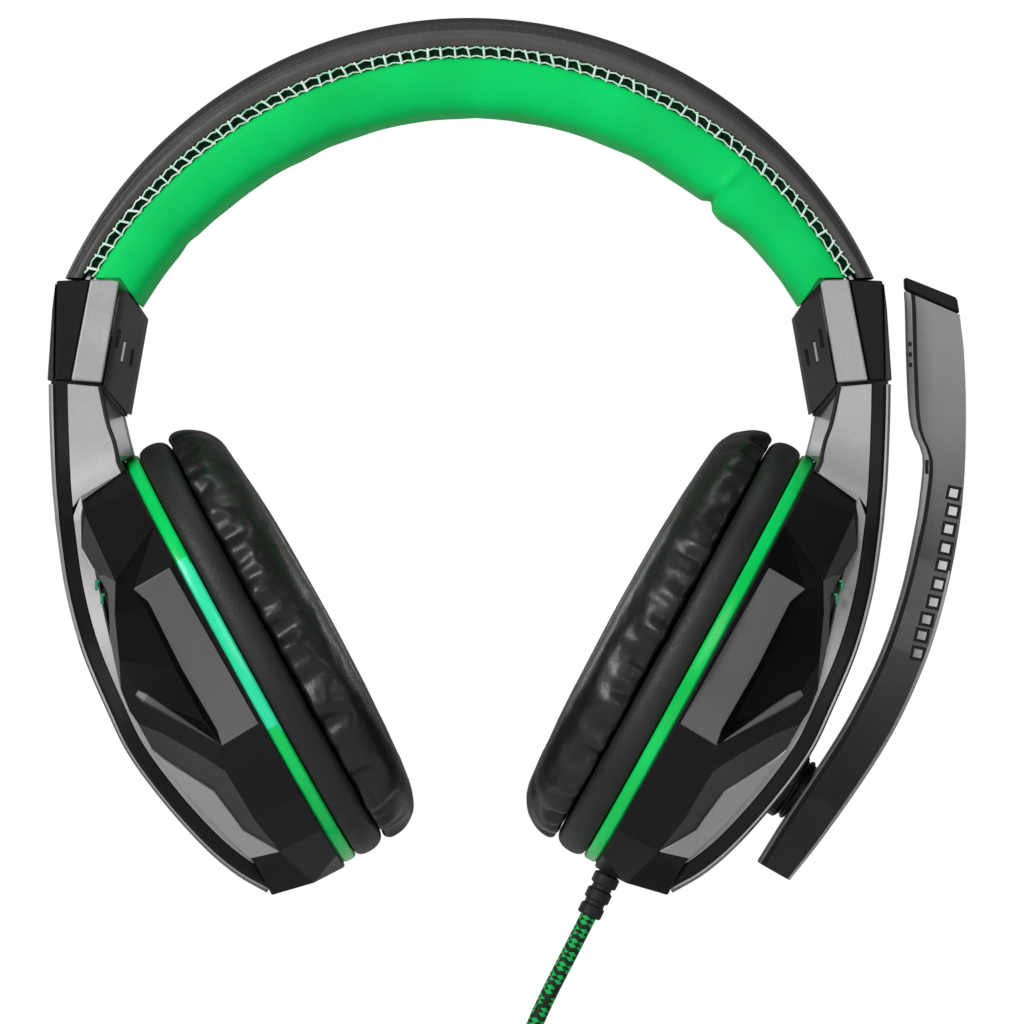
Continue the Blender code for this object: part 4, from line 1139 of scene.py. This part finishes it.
# Corners of the facets as (up, out, half depth).
CORNERS = {
    "top": (49.6, 14.2, 17.6), "brow": (45.9, 15.0, 21.2), "brow_low": (29.0, 15.9, 31.6),
    "chin": (31.5, 17.4, 29.6), "shoulder": (39.7, 19.2, 23.2),
    "edge_1": (32.2, 18.9, 27.6), "edge_2": (27.8, 18.7, 29.0), "edge_3": (23.2, 20.8, 29.4),
    "edge_4": (18.3, 23.2, 29.8), "edge_5": (13.9, 24.6, 30.2),
    "line_1": (22.8, 19.5, 31.6), "line_2": (12.8, 23.8, 32.0),
    "lip_1": (6.8, 26.6, 31.2), "lip_2": (1.6, 27.2, 31.3), "lip_3": (-1.9, 26.8, 31.2),
    "peak": (4.0, 23.3, 33.4),
    "pad_top": (25.9, 3.4, 39.8), "ear_top": (25.6, 13.0, 37.6), "pad_1": (21.3, 11.3, 39.2),
    "pad_2": (4.5, 11.9, 40.2), "pad_3": (-11.6, 11.5, 39.6), "ear_low": (-15.3, 12.3, 38.2),
    "pad_low": (-14.9, 2.6, 41.6),
    "pit_1": (20.6, 12.5, 34.8), "pit_2": (4.5, 13.2, 35.2), "pit_3": (-9.0, 13.0, 35.9),
    "fall_1": (-6.3, 23.1, 33.2), "fall_2": (-14.7, 17.8, 35.8), "fall_3": (-18.1, 15.9, 36.6),
    "fall_4": (-20.9, 14.5, 36.0), "fall_5": (-26.4, 14.3, 33.6), "fall_6": (-33.8, 14.2, 29.0),
    "fall_7": (-42.8, 12.8, 21.5),
    "inlay_0": (-8.2, 26.9, 29.6), "inlay_1": (-11.5, 25.6, 29.4), "inlay_2": (-15.5, 23.5, 29.6),
    "inlay_3": (-19.3, 21.4, 29.6), "inlay_4": (-23.5, 19.0, 29.4), "inlay_5": (-27.3, 18.5, 27.2),
    "inlay_6": (-31.2, 18.0, 24.8), "inlay_7": (-34.5, 17.7, 22.8),
    "crest_0": (-10.0, 26.7, 29.2), "crest_1": (-20.4, 25.0, 26.4), "crest_2": (-27.5, 23.4, 24.0),
    "crest_3": (-34.4, 21.6, 21.0), "crest_4": (-41.0, 19.5, 17.4),
    "foot_0": (-44.5, 19.2, 15.4), "foot_1": (-51.0, 19.5, 10.8), "foot_2": (-53.2, 9.8, 8.2),
}
# Corners of each facet, in order round it.
FACETS = [tuple(facet.split()) for facet in """
rim_0 top brow rim_1 | rim_1 brow brow_low rim_2 | rim_2 brow_low ear_top | rim_2 ear_top pad_top rim_3 |
top shoulder brow | brow shoulder chin brow_low | shoulder edge_1 chin | chin edge_1 edge_2 |
brow_low chin edge_2 line_1 | line_1 edge_2 edge_3 | line_1 edge_3 edge_4 line_2 | line_2 edge_4 edge_5 |
line_2 edge_5 lip_1 | ear_top brow_low line_1 pit_1 | ear_top pit_1 pad_1 | pad_1 pit_1 pit_2 pad_2 |
pad_2 pit_2 pit_3 pad_3 | pit_1 line_1 line_2 pit_2 | pit_2 line_2 peak | pit_2 peak pit_3 |
pad_3 pit_3 ear_low | pit_3 peak ear_low | line_2 lip_1 peak | peak lip_1 lip_2 | peak lip_2 lip_3 |
peak lip_3 fall_1 | peak fall_1 fall_2 | peak fall_2 fall_3 ear_low |
rim_3 pad_top pad_low rim_6 rim_5 rim_4 | pad_top ear_top pad_1 pad_2 pad_3 ear_low pad_low |
rim_6 pad_low ear_low fall_3 fall_4 rim_7 | rim_7 fall_4 fall_5 | rim_7 fall_5 fall_6 rim_8 |
rim_8 fall_6 fall_7 rim_9 | lip_3 inlay_0 inlay_1 fall_1 | fall_1 inlay_1 inlay_2 |
fall_1 inlay_2 inlay_3 fall_2 | fall_2 inlay_3 fall_3 | fall_3 inlay_3 inlay_4 fall_4 |
fall_4 inlay_4 inlay_5 fall_5 | fall_5 inlay_5 inlay_6 | fall_5 inlay_6 inlay_7 fall_6 |
fall_6 inlay_7 fall_7 | inlay_0 crest_0 inlay_1 | inlay_1 crest_0 crest_1 inlay_2 |
inlay_2 crest_1 inlay_3 | inlay_3 crest_1 inlay_4 | inlay_4 crest_1 crest_2 inlay_5 |
inlay_5 crest_2 inlay_6 | inlay_6 crest_2 crest_3 inlay_7 | inlay_7 crest_3 crest_4 fall_7 |
fall_7 crest_4 foot_0 | fall_7 foot_0 foot_1 foot_2 | rim_9 fall_7 foot_2 rim_10 | rim_10 foot_2 rim_11
""".split("|")]
# The corners down the line where both faces turn over to the outer side.
CREST = (
    "top shoulder edge_1 edge_2 edge_3 edge_4 edge_5 lip_1 lip_2 lip_3 "
    "inlay_0 crest_0 crest_1 crest_2 crest_3 crest_4 foot_0 foot_1"
).split()
INLAY_RISE = 0.15


def oval_half_depth(up, half_height, half_width):
    share = min(abs(up) / half_height, 1.0) ** OVAL_POWER
    return half_width * (1 - share) ** (1 / OVAL_POWER)


def corner(name):
    if name.startswith("rim_"):
        up = RIM_HEIGHTS[int(name[4:])]
        return up, HOUSING_BASE, oval_half_depth(up, HOUSING_HALF_HEIGHT, HOUSING_HALF_WIDTH)
    return CORNERS[name]


# The housing's black plastic and its lighter and darker copies, which paint light and shade on its facets.
HOUSING_PAINTED_LIGHT_LEVELS = [BLACK_PLASTIC, HALF_LIT_PAINTED_PLASTIC, PAINTED_LIGHT_PLASTIC, PAINTED_SHADE_PLASTIC]


def facet_finish(facet):
    """Which lit or shaded copy of the housing plastic paints the light and shade on one of the housing's
    facets.
    """
    kinds = {name.split("_")[0] for name in facet}
    # Recessed facets get a darker copy as painted shade.
    if "pit" in kinds or {"rim_2", "ear_top"} <= set(facet):
        return PAINTED_SHADE_PLASTIC
    # The panel facets get a lighter copy as painted light.
    if {"pad_top", "pad_1"} <= set(facet):
        return PAINTED_LIGHT_PLASTIC
    # Brow facets get a grey copy as painted light; the dim top one stays black.
    if "shoulder" in kinds:
        return BLACK_PLASTIC if "top" in kinds else HALF_LIT_PAINTED_PLASTIC
    # The edge facets get the lighter copy as painted light.
    if "edge" in kinds:
        return PAINTED_LIGHT_PLASTIC
    # The band between the silver insert and the lower facets gets the grey copy as painted shade.
    return HALF_LIT_PAINTED_PLASTIC if {"inlay", "fall"} <= kinds else BLACK_PLASTIC


# Share of the way from the peak, half width and rise of the ridge there.
RIDGE_STOPS = [(-0.03, 0.9, 0.2), (0.08, 1.35, 0.75), (0.5, 0.8, 0.4), (0.95, 0.2, -0.1)]
RIDGE_ROOT = -0.6
RIDGE_TOP_SHARE = 0.6


def build_ridge(side):
    """A raised bar that tapers from the peak to the lower corner of the panel."""
    local = CUPS[side]
    mesh = Mesh()
    start, end = Vector(CORNERS["peak"]), Vector(CORNERS["ear_low"])
    across = Vector((start.y - end.y, end.x - start.x, 0.0)).normalized()
    for face in (-1, 1):
        sections = []
        for share, half, lift in RIDGE_STOPS:
            place = start.lerp(end, share)
            section = []
            top = RIDGE_TOP_SHARE
            for way, rise in ((-1.0, RIDGE_ROOT), (-top, lift), (top, lift), (1.0, RIDGE_ROOT)):
                point = place + across * (way * half)
                section.append(local(point.x, face * (place.z + rise), point.y))
            sections.append(section)
        mesh.rows(sections)
    # Painted light: the left cup's ridge gets the lit copy and the right cup's the grey one, as if the left
    # one faced the key light.
    material = PAINTED_LIGHT_PLASTIC if side == "left" else HALF_LIT_PAINTED_PLASTIC
    ridge = mesh.on_cup(side, "cup_ridge", material, "black_plastic", 20.0)
    # The faces next to the peak get the lit copy as a painted highlight.
    ridge.data.materials.append(PAINTED_LIGHT_PLASTIC)
    corners = 4
    faces = (len(RIDGE_STOPS) - 1) * corners + 2
    for i, polygon in enumerate(ridge.data.polygons):
        polygon.material_index = int(i % faces < corners)
    bevel(ridge, 0.2 * MM)


def build_housing(side):
    """The faceted shell: both faces, the bands between them and the pieces set into it."""
    rim = ["rim_" + str(i) for i in range(len(RIM_HEIGHTS))]
    index = {}
    mesh = Mesh()
    for sign in (-1, 1):
        for name in sorted(CORNERS) + rim:
            up, out, half = corner(name)
            index[name, sign] = len(mesh.points)
            mesh.points.append(CUPS[side](up, sign * half, out))
        mesh.faces += [tuple(index[name, sign] for name in facet) for facet in FACETS]
    bands = list(zip(CREST, CREST[1:])) + list(zip(rim, rim[1:])) + [("rim_0", "top")]
    for first, second in bands + [("foot_1", "foot_2"), ("foot_2", rim[-1])]:
        mesh.faces.append((index[first, -1], index[second, -1], index[second, 1], index[first, 1]))
    housing = mesh.on_cup(side, "cup_shell", BLACK_PLASTIC, "black_plastic", None, "cup_housing")
    # The lit and shaded copies paint the light and shade on the facets.
    for painted_copy in HOUSING_PAINTED_LIGHT_LEVELS[1:]:
        housing.data.materials.append(painted_copy)
    for polygon, facet in zip(housing.data.polygons, FACETS + FACETS):
        polygon.material_index = HOUSING_PAINTED_LIGHT_LEVELS.index(facet_finish(facet))
    bevel(housing, 0.35 * MM, 2, 7.0)
    build_inlay(side)
    build_led(side)
    build_ridge(side)


def build_inlay(side):
    """The silver insert low on each face of the cup."""
    local = CUPS[side]
    own = ("inlay", "crest", "fall_7")
    facets = [facet for facet in FACETS if all(name.startswith(own) for name in facet)]
    names = sorted({name for facet in facets for name in facet})
    inlay = Mesh()
    for sign in (-1, 1):
        index = {}
        for name in names:
            up, out, half = CORNERS[name]
            index[name] = len(inlay.points)
            inlay.points.append(local(up, sign * (half + INLAY_RISE), out))
        inlay.faces += [tuple(index[name] for name in facet) for facet in facets]
    inlay = inlay.on_cup(side, "silver_inlay", SILVER_PAINT, "silver_paint", 25.0)
    solid = inlay.modifiers.new("solid", "SOLIDIFY")
    solid.thickness = 0.8 * MM
    solid.offset = 0.0
    bevel(inlay, 0.15 * MM, 2, 50.0)


# Up and out of each light; each is a long bar and a short one that leans the other way.
LED_PLACES = [(30.2, 20.2), (26.9, 20.6)]
LED_HALF_DEPTH = 29.4
LED_LONG = (2.0, 1.0, 0.7)
LED_SHORT = (1.1, 1.0, 0.6)


def build_led(side):
    """Two small lights of slanted bars on each face of the housing."""
    local = CUPS[side]
    mesh = Mesh()
    for up, out in LED_PLACES:
        for face in (-1, 1):
            block(mesh, local, (up, face * LED_HALF_DEPTH, out), LED_LONG, -0.5)
            block(mesh, local, (up + 0.9, face * LED_HALF_DEPTH, out - 0.7), LED_SHORT, 1.0)
    led = mesh.on_cup(side, "light_bars", LED_LIGHT, "green_light", 35.0, "led_window")
    bevel(led, 0.15 * MM)


# ---- Ring, skirt and cushion --------------------------------------------------------------------

RING_HALF_HEIGHT = 52.6
RING_HALF_WIDTH = 42.4
RING_SECTION = [(0.4, -1.55), (0.0, -1.1), (-0.1, 0.0), (0.0, 1.1), (0.4, 1.55), (4.0, 1.55), (4.0, -1.55)]
RIM_SECTION = [(0.5, 1.5), (0.0, 1.7), (0.0, 2.1), (2.5, 2.1), (2.5, 1.5)]
SKIRT_SECTION = [
    (0.9, -1.7), (0.1, -2.2), (-0.5, -3.4), (-0.6, -5.2), (-0.3, -7.0), (0.6, -8.5), (2.0, -9.2),
    (4.2, -9.2), (3.8, -1.7),
]
CUSHION_SECTION = [
    (4.4, -9.5), (2.2, -9.9), (1.5, -11.0), (1.6, -12.9), (2.2, -15.6), (4.2, -18.6), (7.4, -20.6),
    (11.6, -21.3), (16.0, -20.9), (19.4, -19.2), (21.2, -16.4), (21.6, -12.8), (20.4, -9.6),
]
CUSHION_STATIONS = 236
# The heights between which the ring of one cup has a painted glint, a paler green that stands in for a
# reflection of the light, in metres.
GLINT_RANGE = (-0.1396, -0.1017)
# How far out the cushion's seam lies, and the depth and the reach of its fine and broad puckers.
SEAM_OUT = -11.5
FINE_PUCKER = (2.3, 4.6)
BROAD_PUCKER = (1.2, 6.0)
# The cushion's filling: a little more leather than its shape needs, pressed out from inside.
CUSHION_PRESSURE = 1.6
CUSHION_SHRINK = -0.02
CUSHION_FRAMES = 16
# The furthest that the simulation may move a point.
CUSHION_CAP = 1.6 * MM


def oval(half_height, half_width, stations):
    """Points (up, y) spaced evenly round the oval, with outward directions."""
    power = 2.0 / OVAL_POWER
    fine = []
    for i in range(stations * 6 + 1):
        angle = 2 * math.pi * i / (stations * 6)
        up, across = rounded(math.cos(angle), power), rounded(math.sin(angle), power)
        fine.append(Vector((half_height * up, half_width * across)))
    points = resampled(fine, stations + 1)[:-1]
    found = []
    for i, point in enumerate(points):
        tangent = (points[(i + 1) % stations] - points[i - 1]).normalized()
        found.append((point, Vector((tangent.y, -tangent.x))))
    return found


def oval_ring(local, section, stations=160, offset=lambda i, inset, out: 0.0):
    sections = []
    for i, (point, outward) in enumerate(oval(RING_HALF_HEIGHT, RING_HALF_WIDTH, stations)):
        places = []
        for inset, out in section:
            place = point - outward * (inset - offset(i, inset, out))
            places.append(local(place.x, place.y, out))
        sections.append(places)
    return Mesh().rows(sections, loop=True)


def gathers(side):
    """Puckers where the cushion's leather is sewn into the seam, which fade towards its crown."""
    def offset(i, inset, out):
        turn = 2 * math.pi * i / CUSHION_STATIONS
        ring = Vector((math.cos(turn), math.sin(turn), 0.0))
        seam = bump_at(out, SEAM_OUT, FINE_PUCKER[1]) if inset < 8 else 0.0
        wide = bump_at(out, SEAM_OUT - 1.5, BROAD_PUCKER[1]) if inset < 8 else 0.0
        shift = Vector((0.0, 0.0, 5.0 * SIDES[side]))
        fine = noise.noise(ring * 15.0 + shift + Vector((0.0, 0.0, out * 0.04)))
        broad = noise.noise(ring * 8.0 + shift * 2 + Vector((0.0, 0.0, out * 0.06)))
        return FINE_PUCKER[0] * fine * seam + BROAD_PUCKER[0] * broad * wide

    return offset


def inflate(thing, pinned):
    """Cloth simulation of a sewn, filled shape, with its result made part of the mesh."""
    group = thing.vertex_groups.new(name="seam")
    group.add(pinned, 1.0, "REPLACE")
    cloth = thing.modifiers.new("cloth", "CLOTH")
    settings = cloth.settings
    settings.quality = 5
    settings.mass = 0.05
    settings.tension_stiffness = 8.0
    settings.compression_stiffness = 8.0
    settings.shear_stiffness = 4.0
    settings.bending_stiffness = 0.02
    settings.air_damping = 4.0
    settings.use_pressure = True
    settings.uniform_pressure_force = CUSHION_PRESSURE
    settings.shrink_min = CUSHION_SHRINK
    settings.vertex_group_mass = "seam"
    settings.pin_stiffness = 5.0
    settings.effector_weights.gravity = 0.0
    cloth.collision_settings.use_collision = False
    cloth.point_cache.frame_start = 1
    cloth.point_cache.frame_end = CUSHION_FRAMES
    before = [vertex.co.copy() for vertex in thing.data.vertices]
    for number in range(1, CUSHION_FRAMES + 1):
        bpy.context.scene.frame_set(number)
    settle(thing)
    for vertex, start in zip(thing.data.vertices, before):
        move = vertex.co - start
        if move.length > CUSHION_CAP:
            vertex.co = start + move.normalized() * CUSHION_CAP
    bpy.context.scene.frame_set(1)
    thing.vertex_groups.clear()


def build_cushion(side):
    """Ring, skirt and ear cushion, which are swept round the same oval."""
    local = CUPS[side]
    ring = oval_ring(local, RING_SECTION)
    ring = ring.on_cup(side, "glow_ring", GREEN_LIGHT, "green_light", 30.0, "light_ring")
    # Painted glint on the right cup's ring.
    if side == "right":
        ring.data.materials.append(GLINT_LIGHT)
        low, high = GLINT_RANGE
        for polygon in ring.data.polygons:
            polygon.material_index = int(low < polygon.center.z < high and polygon.center.y < 0)
    oval_ring(local, RIM_SECTION).on_cup(side, "ring_gasket", RUBBER, "black_rubber", 40.0)
    skirt = oval_ring(local, SKIRT_SECTION)
    skirt = skirt.on_cup(side, "skirt", SKIRT_LEATHER, "black_leather", 60.0, "cushion_skirt")
    subdivide(skirt)
    section = smooth(CUSHION_SECTION, 3)
    cushion = oval_ring(local, section, CUSHION_STATIONS, gathers(side))
    cushion = cushion.on_cup(side, "ear_pad", BLACK_LEATHER, "black_leather", None, "ear_cushion")
    size = len(section)
    pinned = [i * size + j for i in range(CUSHION_STATIONS) for j in (0, 1, size - 2, size - 1)]
    inflate(cushion, pinned)
    subdivide(cushion)
    build_ear_mesh(side)


# Share of the full size, and place along the cup's axis.
EAR_DOME = [(1.0, -8.5), (1.0, -9.1), (0.9, -9.4), (0.6, -9.8), (0.3, -10.0), (0.02, -10.05)]
EAR_INSET = 6.2
EAR_STATIONS = 96


def build_ear_mesh(side):
    """The cloth over the driver, slightly domed."""
    local = CUPS[side]
    sections = []
    for share, out in EAR_DOME:
        section = []
        for point, outward in oval(RING_HALF_HEIGHT, RING_HALF_WIDTH, EAR_STATIONS):
            place = (point - outward * EAR_INSET) * share
            section.append(local(place.x, place.y, out))
        sections.append(section)
    Mesh().rows(sections).on_cup(side, "ear_cloth", SPEAKER_CLOTH, "speaker_cloth", 60.0, "ear_mesh")


# ---- Boom microphone ----------------------------------------------------------------------------

# Up along the boom and out from the cup, in millimetres from the joint.
BOOM_OUTER = [
    (112.3, -24.3), (109.4, -22.0), (106.0, -19.3), (97.4, -13.4), (88.0, -7.6), (79.6, -2.9), (70.2, 1.6),
    (57.0, 6.6), (43.2, 10.5), (28.5, 12.8), (16.7, 13.4), (4.2, 13.0), (-8.6, 12.1), (-18.6, 10.9),
]
BOOM_INNER = [
    (-18.9, 2.6), (-6.5, 2.6), (11.1, 3.1), (22.3, 2.9), (37.5, 1.3), (51.7, -2.1), (65.0, -6.8),
    (71.5, -9.5), (80.6, -14.3), (85.4, -20.6), (96.3, -28.4), (107.3, -35.6), (110.4, -37.8),
]
BOOM_TIP = [(110.6, -37.9), (112.5, -24.4), (115.3, -26.9), (113.1, -39.6)]
BOOM_HALF = 6.5
BOOM_STATIONS = 60
NOTCHES = [
    (76.8, -3.9), (73.2, -1.9), (69.2, -0.5), (65.1, 1.2), (61.4, 2.7), (57.2, 4.2), (53.1, 5.4),
    (48.9, 6.1), (45.2, 7.1), (41.2, 8.5),
]
NOTCH_SIZE = 3.3
NOTCH_DEPTH = 0.9
NOTCH_TURN = math.atan2(-0.36, 1.0)
STUD_HALF = 0.95
# Share of the boom where its painted edge highlight starts, then its rise and width in millimetres.
EDGE_HIGHLIGHT_START = 0.42
EDGE_HIGHLIGHT_RISE = 0.12
EDGE_HIGHLIGHT_WIDTH = 0.63
# Station and length of each sound slot in the pale strip.
VENTS = [(5, 1.0), (6, 1.0), (7, 1.0), (17, 3.2)]
CAPSULE_PLACE = (101.0, 0.0, -29.0)
CAPSULE_SIZE = (3.4, 3.4, 1.8)
CAPSULE_TURN = math.atan2(-0.7, 1.0)
# Radius and out of the ring on the cup and of the neck on the boom.
SOCKET_SECTION = [
    (3.0, -2.4), (8.2, -2.4), (8.2, -0.2), (7.9, 0.2), (7.4, 0.5), (6.9, 0.6), (6.9, 1.0), (3.0, 1.0),
]
PIVOT_SECTION = [
    (3.0, 1.1), (7.0, 1.1), (7.4, 1.3), (7.5, 1.8), (7.2, 2.2), (6.8, 2.3), (6.8, 2.75), (3.0, 2.75),
]


def boom_sections(outer, inner, halves):
    """Sections across the boom from its tip to its tail. halves gives the half depth at both edges."""
    sections = []
    for i, (first, second) in enumerate(zip(outer, inner)):
        share = i / (len(outer) - 1)
        outer_half, inner_half = halves(share)
        sections.append([
            MIC(first.x, -outer_half, first.y), MIC(second.x, -inner_half, second.y),
            MIC(second.x, inner_half, second.y), MIC(first.x, outer_half, first.y),
        ])
    return sections


def boom_twist(share):
    """The face turns towards the light at the tip and away from it at the tail."""
    lean = 1.0 - 2.0 * share
    return BOOM_HALF + 0.9 * lean, BOOM_HALF - 0.3 - 0.9 * lean


def boom_strip(share):
    """How wide the pale inner strip is, from the tip to the tail."""
    eased = min(max((share - 0.25) / 0.3, 0.0), 1.0)
    return 1.5 - 0.8 * eased * eased * (3 - 2 * eased)


def constant(outer_half, inner_half):
    """The same half depths all along the boom."""
    return lambda share: (outer_half, inner_half)


def build_boom_trim(outer, across):
    """A painted highlight: a thin pale line along the outer edge of the boom's lower part, which stands in
    for light on that edge.
    """
    first = int(BOOM_STATIONS * EDGE_HIGHLIGHT_START)
    near = [point - way * EDGE_HIGHLIGHT_RISE for point, way in zip(outer, across)][first:]
    far = [point - way * (EDGE_HIGHLIGHT_RISE + EDGE_HIGHLIGHT_WIDTH) for point, way in zip(outer, across)][first:]
    half = BOOM_HALF + EDGE_HIGHLIGHT_RISE
    edge_highlight = Mesh().rows(boom_sections(near, far, lambda share: (half - 0.9 * share, half - 0.9 * share)))
    edge_highlight.piece("boom_edge_highlight", PALE_PLASTIC, "mic_boom", "silver_paint", 30.0)


def build_pockets(shell):
    """Square pockets in both faces of the shell, each with a dark bed and a pale stud."""
    pockets, beds, studs = Mesh(), Mesh(), Mesh()
    pocket = (NOTCH_SIZE, 2 * NOTCH_DEPTH, NOTCH_SIZE)
    bed = (NOTCH_SIZE - 0.1, 0.5, NOTCH_SIZE - 0.1)
    for u, n in NOTCHES:
        for face in (-1, 1):
            block(pockets, MIC, (u, face * BOOM_HALF, n), pocket, NOTCH_TURN)
            block(beds, MIC, (u, face * (BOOM_HALF - NOTCH_DEPTH), n), bed, NOTCH_TURN)
            stud_wedge(studs, u, n, face)
    cut(shell, pockets)
    beds.piece("boom_pockets", BLACK_PLASTIC, "mic_boom", "black_plastic", 20.0)
    studs.piece("boom_studs", STUD_PLASTIC, "mic_boom", "silver_paint", 20.0)


def stud_wedge(mesh, u, n, face):
    """A small wedge in a pocket, low on one side and high on the other."""
    c, s = math.cos(NOTCH_TURN), math.sin(NOTCH_TURN)
    floor = BOOM_HALF - NOTCH_DEPTH - 0.1
    sections = []
    for low, high in ((0.0, 0.0), (0.35, 1.0)):
        section = []
        for du, dn in SQUARE:
            du, y, dn = du * STUD_HALF, floor + (low if dn < 0 else high), dn * STUD_HALF
            section.append(MIC(u + du * c - dn * s, face * y, n + du * s + dn * c))
        sections.append(section)
    mesh.rows(sections)


def build_vents(edge, inner):
    """Dark sound slots in the pale strip."""
    vents = Mesh()
    for i, length in VENTS:
        centre = (edge[i] + inner[i]) / 2
        way = inner[i + 1] - inner[i - 1]
        turn = math.atan2(way.y, way.x)
        for face in (-1, 1):
            block(vents, MIC, (centre.x, face * (BOOM_HALF - 0.6), centre.y), (length, 0.7, 0.8), turn)
    vents.piece("boom_vents", BLACK_PLASTIC, "mic_boom", "black_plastic", 20.0)


def build_pivot():
    socket = turned(MIC, SOCKET_SECTION)
    socket.piece("mic_socket_ring", BLACK_PLASTIC, "cup_left", "black_plastic", 25.0, "mic_socket")
    neck = turned(MIC, PIVOT_SECTION)
    neck.piece("mic_neck", BLACK_PLASTIC, "mic_boom", "black_plastic", 25.0, "mic_pivot")


def build_boom():
    """The outer shell, with its painted reflection grey towards the tip, the pale strip along its inner edge,
    the core between them and the black tip.
    """
    outer = resampled(smooth(BOOM_OUTER, 5), BOOM_STATIONS)
    inner = resampled(smooth(BOOM_INNER[::-1], 5), BOOM_STATIONS)
    across = [(first - second).normalized() for first, second in zip(outer, inner)]
    widths = [boom_strip(i / (BOOM_STATIONS - 1)) for i in range(BOOM_STATIONS)]
    seam = [point + way * (width + 1.0) for point, way, width in zip(inner, across, widths)]
    edge = [point + way * width for point, way, width in zip(inner, across, widths)]
    shell = Mesh().rows(boom_sections(outer, seam, boom_twist))
    shell = shell.piece("boom_shell_outer", BOOM_PLASTIC_WITH_PAINTED_REFLECTION, "mic_boom", "boom_plastic", 30.0, "boom_shell")
    build_boom_trim(outer, across)
    build_pockets(shell)
    bevel(shell, 0.5 * MM, 3, 50.0)
    strip = Mesh().rows(boom_sections(edge, inner, constant(BOOM_HALF - 0.2, BOOM_HALF - 0.5)))
    node = "boom_inner_shell"
    strip = strip.piece("boom_shell_inner", PALE_PLASTIC, "mic_boom", "boom_plastic", 30.0, node)
    bevel(strip, 0.25 * MM, 2, 50.0)
    capsule = block(Mesh(), MIC, CAPSULE_PLACE, CAPSULE_SIZE, CAPSULE_TURN)
    capsule.piece("mic_capsule_body", STEEL, "mic_boom", "steel", 20.0, "mic_capsule")
    build_vents(edge, inner)
    depth = [point + way * 3.5 for point, way in zip(inner, across)]
    core = Mesh().rows(boom_sections(depth, edge, constant(BOOM_HALF - 1.6, BOOM_HALF - 1.6)))
    core.piece("boom_core", BLACK_PLASTIC, "mic_boom", "black_plastic", 30.0)
    tip = Mesh().rows([
        [MIC(u, face * (BOOM_HALF + (0.8 if n > -30 else -0.8)), n) for u, n in BOOM_TIP] for face in (-1, 1)
    ])
    tip = tip.piece("boom_tip_cap", BLACK_PLASTIC, "mic_boom", "black_plastic", None, "boom_tip")
    bevel(tip, 0.7 * MM, 3)
    build_pivot()


# ---- What the frame keeps -----------------------------------------------------------------------


def dress_frame_nodes():
    """Better materials on the model's own pieces that stay."""
    finishes = {
        "size_rail": STEEL, "cap_screw": STEEL, "headband_spring": STEEL, "speaker_driver": STEEL,
        "usb_shell": STEEL, "baffle": DARK_PLASTIC, "led_board": BOARD,
    }
    for name, node in frame["nodes"].items():
        for start, material in finishes.items():
            if name.startswith(start):
                node.data.materials.clear()
                node.data.materials.append(material)


def build_floor():
    bm = bmesh.new()
    bmesh.ops.create_grid(bm, x_segments=1, y_segments=1, size=1.5)
    mesh = bpy.data.meshes.new("floor")
    bm.to_mesh(mesh)
    bm.free()
    floor = linked("floor", mesh)
    floor.location = (0.0, 0.0, FLOOR_HEIGHT)
    pale = Surface("pale_floor", roughness=0.7)
    pale.colours(pale.noise(3.0), (0.3, grey(0.80)), (0.7, grey(0.84)))
    mesh.materials.append(pale.material)


build_cord([build_strain_relief(), build_tie(), build_plug(), frame["nodes"]["usb_shell"]])
build_headband()
for each_side in SIDES:
    build_end_cap(each_side)
    build_arm(each_side)
    build_housing(each_side)
    build_cushion(each_side)
build_boom()
dress_frame_nodes()
build_floor()
